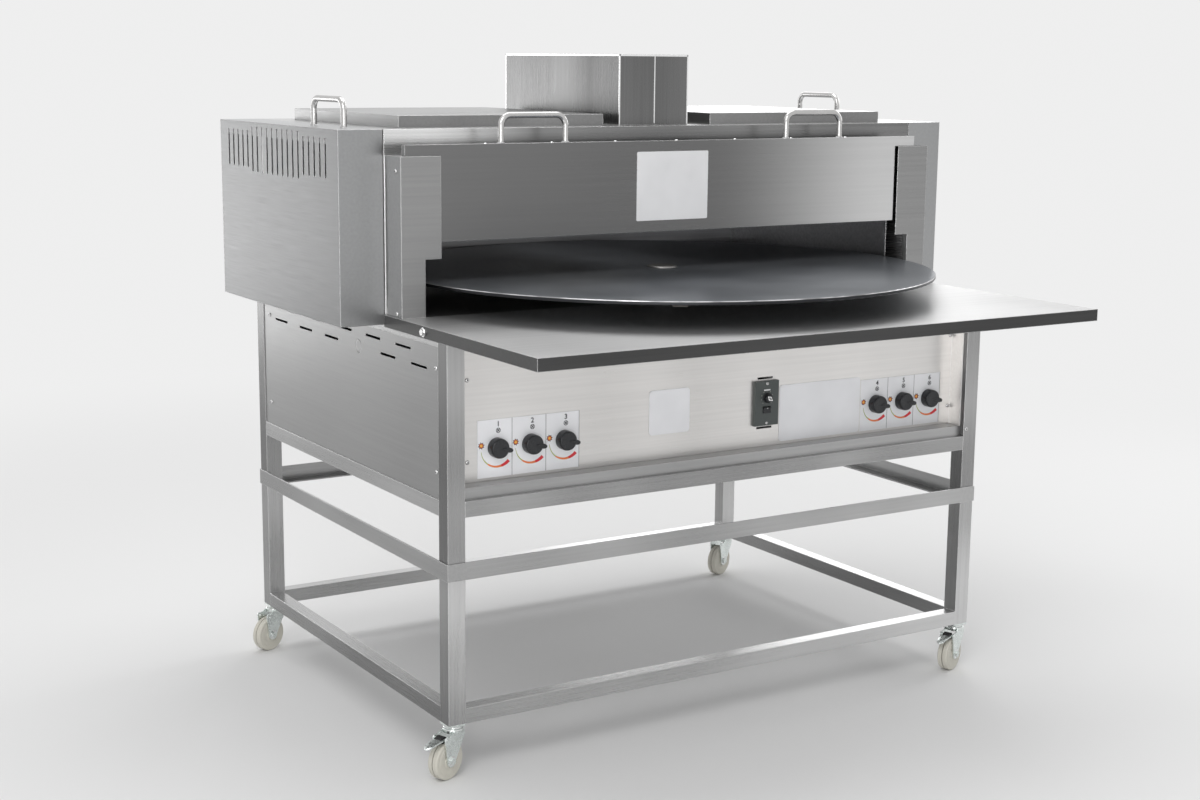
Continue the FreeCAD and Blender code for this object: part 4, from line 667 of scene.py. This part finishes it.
def finish_piece(bm, name, body, finish_names, bevel=0.0, smooth_angle=0.55):
    """Turns the mesh into a piece that rides a body, with its sharp edges eased by the bevel."""
    if bevel:
        sharp = [edge for edge in bm.edges if edge.calc_face_angle(0.0) > smooth_angle]
        bmesh.ops.bevel(bm, geom=sharp, offset=bevel, segments=2, profile=0.5, affect="EDGES",
                        clamp_overlap=True)
    bmesh.ops.recalc_face_normals(bm, faces=bm.faces)
    mesh = bpy.data.meshes.new(name)
    bm.to_mesh(mesh)
    bm.free()
    mesh.shade_smooth()
    mesh.set_sharp_from_angle(angle=smooth_angle)
    for finish in finish_names:
        mesh.materials.append(finishes[finish])
    piece = new_object(name, mesh)
    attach(piece, body)
    return piece


def rounded(width, height, radius, steps=5):
    """Outline of a rectangle with round corners, about its middle."""
    points = []
    for turn, (sign_a, sign_b) in enumerate(((1, 1), (-1, 1), (-1, -1), (1, -1))):
        for step in range(steps + 1):
            angle = math.radians(90 * (turn + step / steps))
            points.append((sign_a * (width / 2 - radius) + radius * math.cos(angle),
                           sign_b * (height / 2 - radius) + radius * math.sin(angle)))
    return points


def turned(points, degrees):
    angle = math.radians(degrees)
    return [(a * math.cos(angle) - b * math.sin(angle), a * math.sin(angle) + b * math.cos(angle))
            for a, b in points]


def moved(points, offset):
    return [(a + offset[0], b + offset[1]) for a, b in points]


def islands(node):
    """Lowest and highest corner of each separate solid in a node."""
    bm = bmesh.new()
    bm.from_mesh(nodes[node].data)
    bmesh.ops.remove_doubles(bm, verts=bm.verts, dist=1e-6)
    found = []
    seen = set()
    for vert in bm.verts:
        if vert in seen:
            continue
        group = [vert]
        seen.add(vert)
        for member in group:
            for edge in member.link_edges:
                other = edge.other_vert(member)
                if other not in seen:
                    seen.add(other)
                    group.append(other)
        low = Vector([min(member.co[axis] for member in group) for axis in range(3)])
        high = Vector([max(member.co[axis] for member in group) for axis in range(3)])
        found.append((low, high))
    bm.free()
    return found


# Knobs and their plates' marks

def knob_piece(number):
    """Knob with a dished face, a rib across it that runs out into a round nib, and its stem."""
    joint = joints["knob_%d_turn" % number]
    centre = Vector(joint["pos_m"])
    place = on_front(centre.x, centre.y - KNOB_BACK_GAP, centre.z)
    r = KNOB_RADIUS
    d = KNOB_DEPTH
    bm = bmesh.new()
    add_lathe(bm, [(0.0, 0.0), (r * 0.95, 0.0), (r * 0.995, d * 0.05), (r, d * 0.2), (r * 0.985, d * 0.78),
                   (r * 0.955, d * 0.92), (r * 0.90, d * 0.985), (r * 0.84, d), (r * 0.60, d * 0.955),
                   (0.0, d * 0.93)], place, segments=48)
    add_rod(bm, KNOB_STEM_RADIUS, -KNOB_STEM_LENGTH, d / 4, place)
    tip = NIB_REACH - NIB_TIP_RADIUS
    root, half = NIB_ROOT
    outline = [(root, half), (root, -half), (r * 0.95, -NIB_SHOULDER)]
    for step in range(NIB_STEPS + 1):
        angle = math.radians(-90 + 180 * step / NIB_STEPS)
        outline.append((tip + NIB_TIP_RADIUS * math.cos(angle), NIB_TIP_RADIUS * math.sin(angle)))
    outline.append((r * 0.95, NIB_SHOULDER))
    add_prism(bm, turned(outline, NIB_ANGLE), d * 0.1, d * 1.04, place)
    piece = finish_piece(bm, "knob_shell_%d" % number, joint["child"], ["black_plastic"],
                         bevel=0.0006, smooth_angle=0.7)
    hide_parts("knob_%d" % number)


def arc_rows(start, end, width_start, width_end, steps=12):
    """Inner and outer points of a stretch of the heat scale, which swells and opens out as it goes."""
    inner = []
    outer = []
    for step in range(steps + 1):
        share = step / steps
        turn = start + (end - start) * share
        opened = (turn - ARC_START) / (ARC_END - ARC_START)
        radius = ARC_RADIUS_START + (ARC_RADIUS_END - ARC_RADIUS_START) * opened
        half = (width_start + (width_end - width_start) * share) / 2
        a = math.cos(math.radians(turn))
        b = math.sin(math.radians(turn))
        inner.append(((radius - half) * a + ARC_CENTRE[0], (radius - half) * b + ARC_CENTRE[1]))
        outer.append(((radius + half) * a + ARC_CENTRE[0], (radius + half) * b + ARC_CENTRE[1]))
    return inner, outer


def star(points, outer, inner):
    outline = []
    for index in range(2 * points):
        radius = inner if index % 2 else outer
        angle = math.pi * (index + 0.5) / points
        outline.append((radius * math.cos(angle), radius * math.sin(angle)))
    return outline


def circle(radius, count=20):
    return [(radius * math.cos(2 * math.pi * i / count), radius * math.sin(2 * math.pi * i / count))
            for i in range(count)]


def plate_marks(number):
    """Printed marks of a knob plate: a swelling heat scale, a spark, a closed mark and a plain number."""
    stem = Vector(joints["knob_%d_turn" % number]["pos_m"])
    centre = stem - PLATE_TO_STEM
    place = on_front(centre.x, centre.y, centre.z)
    bm = bmesh.new()
    edge_place = on_front(centre.x + PLATE_WIDTH / 2, centre.y, centre.z)
    add_prism(bm, rounded(SEAM_WIDTH, PLATE_HEIGHT, SEAM_WIDTH / 4, 2), 0.0, MARK_THICK, edge_place)
    finish_piece(bm, "plate_seam_%d" % number, "cabinet", ["seam"])
    bm = bmesh.new()
    for index, (start, end, first, last) in enumerate(ARC_COLOURS):
        inner, outer = arc_rows(start, end, first, last)
        add_band(bm, inner, outer, 0.0, MARK_THICK, place, index)
    waist = STAR_RADIUS * 0.62
    sparks = (star(STAR_POINTS, STAR_RADIUS, waist), star(STAR_POINTS, waist, STAR_RADIUS * 0.45),
              circle(STAR_RADIUS * 0.28))
    for layer, outline in enumerate(sparks, 1):
        add_prism(bm, moved(outline, STAR_PLACE), 0.0, MARK_THICK * layer, place, layer + 2)
    finish_piece(bm, "heat_scale_%d" % number, "cabinet",
                 ["ink_olive", "ink_orange", "ink_red", "ink_maroon", "ink_orange", "ink_yellow"])
    bm = bmesh.new()
    ring = circle(OFF_RADIUS, 24)
    hole = circle(OFF_RADIUS * 0.76, 24)
    add_band(bm, moved(hole + hole[:1], OFF_PLACE), moved(ring + ring[:1], OFF_PLACE), 0.0, MARK_THICK, place)
    bmesh.ops.remove_doubles(bm, verts=bm.verts, dist=1e-7)
    for layer, angle in ((1.2, 45.0), (1.4, 135.0)):
        bar = turned(rounded(OFF_RADIUS * 1.7, OFF_RADIUS * 0.34, OFF_RADIUS * 0.05, 2), angle)
        add_prism(bm, moved(bar, OFF_PLACE), 0.0, MARK_THICK * layer, place)
    finish_piece(bm, "closed_mark_%d" % number, "cabinet", ["ink_black"])
    number_piece(number, place)


def number_piece(number, place):
    data = bpy.data.curves.new("plain_number", "FONT")
    data.body = str(number)
    data.size = NUMBER_SIZE
    data.align_x = "CENTER"
    data.extrude = MARK_THICK
    data.offset = NUMBER_WEIGHT
    source = bpy.data.objects.new("plain_number", data)
    mesh = bpy.data.meshes.new_from_object(source)
    mesh.transform(place @ Matrix.Translation((NUMBER_PLACE[0], NUMBER_PLACE[1], 0.0)))
    bpy.data.objects.remove(source)
    bm = bmesh.new()
    bm.from_mesh(mesh)
    finish_piece(bm, "plain_number_%d" % number, "cabinet", ["ink_black"])


# Speed control

def speed_control():
    """Index bar, dial dots, bezel screws, and a silver pointer on the dial."""
    bm = bmesh.new()
    width, height, z = INDEX_BAR
    add_prism(bm, rounded(width, height, 0.0008, 3), 0.0, 0.0003, on_front(SPEED_X, SPEED_FRONT_Y, z))
    finish_piece(bm, "speed_index", "cabinet", ["label"])
    bm = bmesh.new()
    for index in range(DIAL_TICKS):
        angle = math.radians(DIAL_FIRST_ANGLE - DIAL_SWEEP * index / (DIAL_TICKS - 1))
        place = on_front(SPEED_X + DOT_RING_RADIUS * math.cos(angle), SPEED_FRONT_Y,
                         DIAL_Z + DOT_RING_RADIUS * math.sin(angle))
        add_prism(bm, circle(DOT_RADIUS, 12), 0.0, 0.0002, place)
    finish_piece(bm, "speed_dots", "cabinet", ["dot"])
    bm = bmesh.new()
    for z in BEZEL_SCREWS_Z:
        screw_head(bm, on_front(SPEED_X, SPEED_FRONT_Y, z), 0.75)
    finish_piece(bm, "speed_screws", "cabinet", ["bolt", "soft_black"])
    dial = joints["speed_dial_turn"]
    place = on_front(SPEED_X, SPEED_FRONT_Y - KNOB_BACK_GAP, DIAL_Z)
    bm = bmesh.new()
    r = DIAL_BASE_RADIUS
    add_lathe(bm, [(0.0, 0.0), (r, 0.0), (r, 0.0016), (r * 0.86, 0.0022), (r * 0.80, 0.0098),
                   (r * 0.70, DIAL_FACE), (0.0, DIAL_FACE)], place)
    add_rod(bm, KNOB_STEM_RADIUS, -DIAL_STEM_LENGTH, 0.001, place)
    for index in range(DIAL_RIBS):
        angle = 2 * math.pi * index / DIAL_RIBS
        rib = [(r * 0.78, -0.0005), (r * 0.90, -0.0003), (r * 0.90, 0.0003), (r * 0.78, 0.0005)]
        add_prism(bm, turned(rib, math.degrees(angle)), 0.0022, 0.0094, place)
    pointer = rounded(0.0150, 0.0034, 0.0012, 3)
    add_prism(bm, turned(pointer, POINTER_ANGLE), POINTER_FOOT, POINTER_TOP, place, 1)
    add_lathe(bm, [(0.0, POINTER_FOOT), (r * 0.42, POINTER_FOOT), (r * 0.42, 0.0116), (r * 0.36, POINTER_TOP),
                   (0.0, POINTER_TOP)], place, 1)
    shell = finish_piece(bm, "dial_shell", dial["child"], ["black_plastic", "silver"],
                         bevel=0.0002)
    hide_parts("speed_dial")
    low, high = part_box("rocker")
    bm = bmesh.new()
    middle = (low + high) / 2
    dot_place = on_front(middle.x, low.y + 0.0012, middle.z + 0.0042)
    add_prism(bm, circle(0.0011, 12), 0.0, 0.0008, dot_place)
    finish_piece(bm, "rocker_dot", joints["rocker_tip"]["child"], ["label"])


# Screws, bolts, rivets and welds

def screw_head(bm, place, share=1.0):
    """Pan head with its crossed recess drawn as dark bars: painted shade."""
    r = SCREW_RADIUS * share
    add_lathe(bm, [(0.0, 0.0), (r * 0.96, 0.0), (r, r * 0.12), (r * 0.93, r * 0.30), (r * 0.72, r * 0.46),
                   (r * 0.40, r * 0.54), (0.0, r * 0.56)], place, 0, 24)
    # The dark raised cross stands in for the shade inside the recess: painted shade.
    for angle in (20.0, 110.0):
        add_prism(bm, turned(rounded(r * 0.95, r * 0.22, r * 0.04, 2), angle), r * 0.42, r * 0.575, place, 1)


def outward_place(low, high):
    """Place on the seat of a head that stands out of a side or a front, from its solid's corners."""
    middle = (low + high) / 2
    size = high - low
    if size.x < size.y:
        sign = 1 if middle.x > 0 else -1
        seat = Vector((low.x if sign > 0 else high.x, middle.y, middle.z))
        return facing(seat, Y_AXIS * sign, Z_AXIS), size.x
    return on_front(middle.x, high.y, middle.z), size.y


def fastener_pieces():
    """Screw heads, and hexagon bolts on washers where a solid is too tall to be a screw."""
    heads = bmesh.new()
    bolts = bmesh.new()
    for low, high in islands("screws"):
        place, height = outward_place(low, high)
        if high.z - low.z > 2.2 * SCREW_RADIUS:
            r = HEX_RADIUS
            add_lathe(bolts, [(0.0, 0.0), (WASHER_RADIUS, 0.0), (WASHER_RADIUS, 0.0011),
                              (WASHER_RADIUS - 0.0004, WASHER_THICK), (0.0, WASHER_THICK)], place, 0, 28)
            add_lathe(bolts, [(0.0, 0.0012), (r, 0.0012), (r, height - 0.0007), (r * 0.90, height),
                              (0.0, height)], place, 0, 6)
        else:
            screw_head(heads, place)
    piece = finish_piece(heads, "screw_heads", "cabinet", ["bolt", "soft_black"])
    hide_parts("screws")
    finish_piece(bolts, "shelf_bolts", "cabinet", ["bolt"], bevel=0.0003)


def door_trim():
    """Bare white label and a row of rivets along the door's top."""
    bm = bmesh.new()
    width = LABEL_X[1] - LABEL_X[0]
    height = LABEL_Z[1] - LABEL_Z[0]
    place = on_front(sum(LABEL_X) / 2, DOOR_FRONT_Y, sum(LABEL_Z) / 2)
    add_prism(bm, rounded(width, height, 0.003), 0.0, LABEL_THICK, place)
    finish_piece(bm, "door_label", "door", ["label"], bevel=0.00015)
    bm = bmesh.new()
    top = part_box("door")[1].z
    r = RIVET_RADIUS
    for index in range(RIVET_COUNT):
        place = facing((RIVET_FIRST_X + index * RIVET_PITCH, RIVET_Y, top), X_AXIS, Y_AXIS)
        add_lathe(bm, [(0.0, 0.0), (r, 0.0), (r * 0.95, r * 0.22), (r * 0.70, r * 0.42), (0.0, r * 0.52)],
                  place, 0, 20)
    finish_piece(bm, "door_rivets", "door", ["bright"])


def foot_weld(bm, place):
    """Low collar of weld where a handle's leg meets the sheet."""
    r = ROD_RADIUS
    add_collar(bm, [(r * 0.96, 0.0), (r * 1.45, 0.0), (r * 1.36, 0.0006), (r * 1.18, 0.0013),
                    (r * 1.04, 0.0024), (r * 0.96, 0.0026)], place, 0, 28)


def handle_welds():
    """A weld collar at both feet of each handle."""
    for node, body in (("door_handles", "door"), ("cover_handle_left", "cover_left"),
                       ("cover_handle_right", "cover_right")):
        bm = bmesh.new()
        for low, high in islands(node):
            middle = (low + high) / 2
            size = high - low
            along = X_AXIS if size.x > size.y else Y_AXIS
            reach = max(size.x, size.y) / 2 - ROD_RADIUS
            for sign in (-1, 1):
                seat = Vector((middle.x, middle.y, low.z)) + along * (reach * sign)
                foot_weld(bm, facing(seat, X_AXIS, Y_AXIS))
        finish_piece(bm, node + "_welds", body, ["bracket"])


# Chimney, covers and inlet

def chimney_trim():
    """Folded corners, a standing seam on the front and a hemmed top edge, in a bright finish that paints the
    highlight these edges catch.
    """
    low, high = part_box("chimney")
    middle = (low + high) / 2
    half_x = high.x - middle.x
    half_y = high.y - middle.y
    hem_z = high.z - HEM_DROP
    w = TRIM_WIDTH
    t = TRIM_THICK
    profile = ((t, t), (t, -w), (0, -w), (0, 0), (-w, 0), (-w, t))
    bm = bmesh.new()
    for sign_x in (-1, 1):
        for sign_y in (-1, 1):
            fold = facing((middle.x + sign_x * half_x, middle.y + sign_y * half_y, low.z), X_AXIS, Y_AXIS)
            outline = [(sign_x * a, sign_y * b) for a, b in profile]
            if sign_x * sign_y < 0:
                outline.reverse()
            add_prism(bm, outline, 0.0005, high.z - low.z - 0.0004, fold)
    seam = on_front(middle.x + SEAM_ASIDE, low.y, (low.z + high.z) / 2)
    add_prism(bm, rounded(w * 1.1, high.z - low.z - 0.006, 0.0004, 2), 0.0, t, seam)
    finish_piece(bm, "chimney_fold_highlights", "cabinet", ["bright"], bevel=0.0001)
    bm = bmesh.new()
    for sign in (-1, 1):
        side = facing((middle.x + sign * half_x, middle.y, hem_z), Y_AXIS * sign, Z_AXIS)
        add_prism(bm, rounded(high.y - low.y, HEM_HEIGHT, HEM_HEIGHT / 3, 3), 0.0, t, side)
        front = facing((middle.x, middle.y + sign * half_y, hem_z), X_AXIS * -sign, Z_AXIS)
        add_prism(bm, rounded(high.x - low.x, HEM_HEIGHT, HEM_HEIGHT / 3, 3), 0.0, t, front)
    finish_piece(bm, "chimney_hem_highlight", "cabinet", ["bright"], bevel=0.0001)


def louvre_lips():
    """Turned-down inner flange behind the tops of the louvres."""
    for sign, side in ((-1, "left"), (1, "right")):
        low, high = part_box("cover_" + side)
        outer = high.x if sign > 0 else low.x
        length = high.y - low.y - LIP_FRONT - LIP_REAR
        centre_y = (low.y + LIP_FRONT + high.y - LIP_REAR) / 2
        place = facing((outer - sign * (LIP_GAP + LIP_THICK), centre_y, high.z - (LIP_LOW + LIP_HIGH) / 2),
                       Y_AXIS * sign, Z_AXIS)
        bm = bmesh.new()
        add_prism(bm, rounded(length, LIP_LOW - LIP_HIGH, 0.004), 0.0, LIP_THICK, place)
        finish_piece(bm, "louvre_lip_" + side, "cover_" + side, ["deck"], bevel=0.0002)


def inlet_pins():
    """Three flat pins inside the power inlet."""
    low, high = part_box("power_inlet")
    middle = (low + high) / 2
    bm = bmesh.new()
    for a, b in ((-0.007, -0.0020), (0.007, -0.0020), (0.0, 0.0035)):
        place = facing((middle.x + a, low.y + 0.001, middle.z + b), -X_AXIS, Z_AXIS)
        add_prism(bm, rounded(0.0020, 0.0045, 0.0006, 3), 0.0, 0.018, place)
    finish_piece(bm, "inlet_pins", "cabinet", ["brass"], bevel=0.0002)


# Casters

def caster_pieces(corner):
    """Race rings, axle washers, a dark ring of painted shade in the wheel's groove, the hub ring, and on the
    front ones the brake.
    """
    swivel = Vector(joints["swivel_" + corner]["pos_m"])
    axle = Vector(joints["roll_" + corner]["pos_m"])
    angle = math.radians(TRAIL_ANGLE)
    trailing = Vector((-math.cos(angle), -math.sin(angle), 0.0))
    across = Vector((-math.sin(angle), math.cos(angle), 0.0))
    fork = "fork_" + corner
    wheel = "wheel_" + corner
    for level, height, radius, bulge in RACE_RINGS:
        bm = bmesh.new()
        section = [(radius + bulge * math.cos(math.radians(a)), bulge * 0.8 * math.sin(math.radians(a)))
                   for a in range(0, 360, 45)]
        add_collar(bm, section, facing((swivel.x, swivel.y, height), X_AXIS, Y_AXIS))
        body = fork if level == "lower" else "cabinet"
        finish_piece(bm, "race_ring_%s_%s" % (level, corner), body, ["bright"])
    bm = bmesh.new()
    for sign in (-1, 1):
        seat = axle + across * (AXLE_OUTER * sign)
        place = facing(seat, trailing * -sign, Z_AXIS)
        add_collar(bm, [(0.0070, 0.0), (0.0102, 0.0), (0.0100, 0.0012), (0.0070, 0.0014)], place)
        add_lathe(bm, [(0.0, 0.0050), (0.0040, 0.0050), (0.0036, 0.0062), (0.0, 0.0068)], place)
    finish_piece(bm, "axle_washers_" + corner, fork, ["bright"])
    place = facing(axle, trailing, Z_AXIS)
    # A thin dark ring in the wheel's groove: painted shade.
    bm = bmesh.new()
    add_collar(bm, [(0.0368, -0.0010), (0.0380, -0.0010), (0.0380, 0.0010), (0.0368, 0.0010)], place)
    finish_piece(bm, "wheel_groove_shade_" + corner, wheel, ["groove"])
    bm = bmesh.new()
    for sign in (-1, 1):
        section = [(0.0200, sign * 0.0120), (0.0215, sign * 0.0131),
                   (0.0300, sign * 0.0131), (0.0315, sign * 0.0120)]
        add_collar(bm, section, place)
    finish_piece(bm, "wheel_web_" + corner, wheel, ["nylon"])
    if corner.startswith("front"):
        brake_pedal(corner, trailing, across)


def brake_pedal(corner, trailing, across):
    """Crowned tongue pedal that narrows to a round end, on its pin, and the black cam of the brake."""
    joint = joints["brake_" + corner]
    pivot = Vector(joint["pos_m"])
    slope = math.radians(PEDAL_SLOPE)
    out = trailing * math.cos(slope) - Z_AXIS * math.sin(slope)
    up = Z_AXIS * math.cos(slope) + trailing * math.sin(slope)
    bm = bmesh.new()
    rows = []
    for step in range(PEDAL_STEPS + 1):
        share = step / PEDAL_STEPS
        reach = PEDAL_LENGTH * share
        narrowed = max(0.0, (share - PEDAL_TAPER_START) / (1 - PEDAL_TAPER_START))
        half = PEDAL_HALF_WIDTH * (1.0 - PEDAL_TAPER * narrowed)
        rounding = (share - (1 - PEDAL_ROUND)) / PEDAL_ROUND
        if rounding > 0.0:
            half *= math.sqrt(max(0.02, 1.0 - rounding ** 2))
        lift = PEDAL_ARCH * math.sin(math.pi * share) + PEDAL_TIP_RISE * share
        for side in (1, -1):
            row = []
            for index in range(PEDAL_CROSS_STEPS + 1):
                cross = 2 * index / PEDAL_CROSS_STEPS - 1
                rise = lift + PEDAL_CROWN * (1 - cross * cross) + side * PEDAL_THICK / 2
                row.append(bm.verts.new(pivot + out * reach + across * (half * cross) + up * rise))
            rows.append(row)
    for index in range(0, len(rows) - 2, 2):
        for near, far in ((rows[index], rows[index + 2]), (rows[index + 1], rows[index + 3])):
            add_faces(bm, [(near[i], near[i + 1], far[i + 1], far[i]) for i in range(PEDAL_CROSS_STEPS)], 0)
        for i in (0, -1):
            add_faces(bm, [(rows[index][i], rows[index + 2][i], rows[index + 3][i], rows[index + 1][i])], 0)
    for top, below in ((rows[0], rows[1]), (rows[-2], rows[-1])):
        add_faces(bm, [(top[i], top[i + 1], below[i + 1], below[i]) for i in range(PEDAL_CROSS_STEPS)], 0)
    pin = facing(pivot, trailing, Z_AXIS)
    half_pin = AXLE_OUTER + 0.0004
    add_rod(bm, BRAKE_PIN_RADIUS, -half_pin, half_pin, pin)
    piece = finish_piece(bm, "brake_tongue_" + corner, joint["child"], ["zinc"])
    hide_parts("pedal_" + corner)
    bm = bmesh.new()
    outline = []
    for step in range(CAM_STEPS):
        turn = 2 * math.pi * step / CAM_STEPS
        lobe = max(0.0, math.cos(turn - math.radians(CAM_ANGLE))) ** 3
        radius = CAM_RADIUS + CAM_LOBE * lobe
        outline.append((radius * math.cos(turn), radius * math.sin(turn)))
    add_prism(bm, outline, -CAM_HALF_WIDTH, CAM_HALF_WIDTH, pin)
    finish_piece(bm, "brake_cam_" + corner, joint["child"], ["soft_black"], bevel=0.0006)


# Studio

def make_camera():
    forward = Vector((math.sin(CAMERA_YAW) * math.cos(CAMERA_PITCH),
                      math.cos(CAMERA_YAW) * math.cos(CAMERA_PITCH), math.sin(CAMERA_PITCH)))
    level = Vector((math.cos(CAMERA_YAW), -math.sin(CAMERA_YAW), 0.0))
    upright = level.cross(forward)
    right = level * math.cos(CAMERA_ROLL) + upright * math.sin(CAMERA_ROLL)
    up = upright * math.cos(CAMERA_ROLL) - level * math.sin(CAMERA_ROLL)
    data = bpy.data.cameras.new("camera")
    data.sensor_fit = "HORIZONTAL"
    data.sensor_width = SENSOR_WIDTH
    data.lens = CAMERA_LENS
    camera = new_object("camera", data)
    camera.matrix_world = facing(CAMERA_PLACE, right, up)
    bpy.context.scene.camera = camera


def seen_directly(tree):
    """1 for what the camera sees, straight or in metal or glass."""
    path = put(tree, "LightPath")
    seen = calc(tree, path.outputs["Is Camera Ray"], path.outputs["Is Glossy Ray"], "MAXIMUM")
    return calc(tree, seen, path.outputs["Is Transmission Ray"], "MAXIMUM")


def make_world():
    world = bpy.data.worlds.new("studio")
    bpy.context.scene.world = world
    world.use_nodes = True
    tree = world.node_tree
    direction = put(tree, "TexCoord").outputs["Generated"]
    height = split(tree, direction)["Z"]
    light = mix_colours(tree, remap(tree, height, -0.2, 0.8, 0.0, 1.0), grey(SKY_LOW_TONE), grey(1.0))
    strength = put(tree, "Mix", {0: seen_directly(tree), 2: ROOM_LIGHT, 3: 1.0}).outputs[0]
    colour = mix_colours(tree, seen_directly(tree), light, grey(PALE))
    background = tree.nodes["Background"]
    tree.links.new(colour, background.inputs["Color"])
    tree.links.new(strength, background.inputs["Strength"])


def make_floor():
    """Pale round floor that turns into the background's tone far from the oven."""
    bm = bmesh.new()
    bmesh.ops.create_circle(bm, cap_ends=True, segments=96, radius=FLOOR_RADIUS)
    mesh = bpy.data.meshes.new("floor")
    bm.to_mesh(mesh)
    bm.free()
    floor = new_object("floor", mesh)
    material, tree, shader = new_material("floor_pale")
    shader.inputs["Base Color"].default_value = grey(FLOOR_TONE)
    shader.inputs["Roughness"].default_value = FLOOR_ROUGHNESS
    shader.inputs["Specular IOR Level"].default_value = FLOOR_SHINE
    far_tone = put(tree, "Emission", {"Color": grey(PALE), "Strength": 1.0}).outputs[0]
    reach = put(tree, "VectorMath", {0: object_place(tree)}, operation="LENGTH").outputs["Value"]
    far = put(tree, "MapRange", {"Value": reach, "From Min": FLOOR_FADE_START, "From Max": FLOOR_FADE_END},
              interpolation_type="SMOOTHSTEP").outputs["Result"]
    far = calc(tree, far, seen_directly(tree), "MULTIPLY")
    mixed = put(tree, "MixShader", {0: far, 1: shader.outputs[0], 2: far_tone}).outputs[0]
    tree.links.new(mixed, tree.nodes["Material Output"].inputs["Surface"])
    mesh.materials.append(material)


def make_lamp(name, place, target, size, power):
    data = bpy.data.lights.new(name, "AREA")
    data.shape = "RECTANGLE"
    data.size = size[0]
    data.size_y = size[1]
    data.energy = power
    lamp = new_object(name, data)
    lamp.location = place
    lamp.rotation_euler = (Vector(target) - Vector(place)).to_track_quat("-Z", "Y").to_euler()
    lamp.visible_camera = False


def make_studio():
    make_camera()
    make_world()
    make_floor()
    for lamp in LAMPS:
        make_lamp(*lamp)
    bpy.context.scene.view_settings.view_transform = "Standard"


make_studio()
dress_nodes()
for number in range(1, KNOB_COUNT + 1):
    knob_piece(number)
    plate_marks(number)
speed_control()
fastener_pieces()
door_trim()
handle_welds()
chimney_trim()
louvre_lips()
inlet_pins()
for corner in CORNERS:
    caster_pieces(corner)
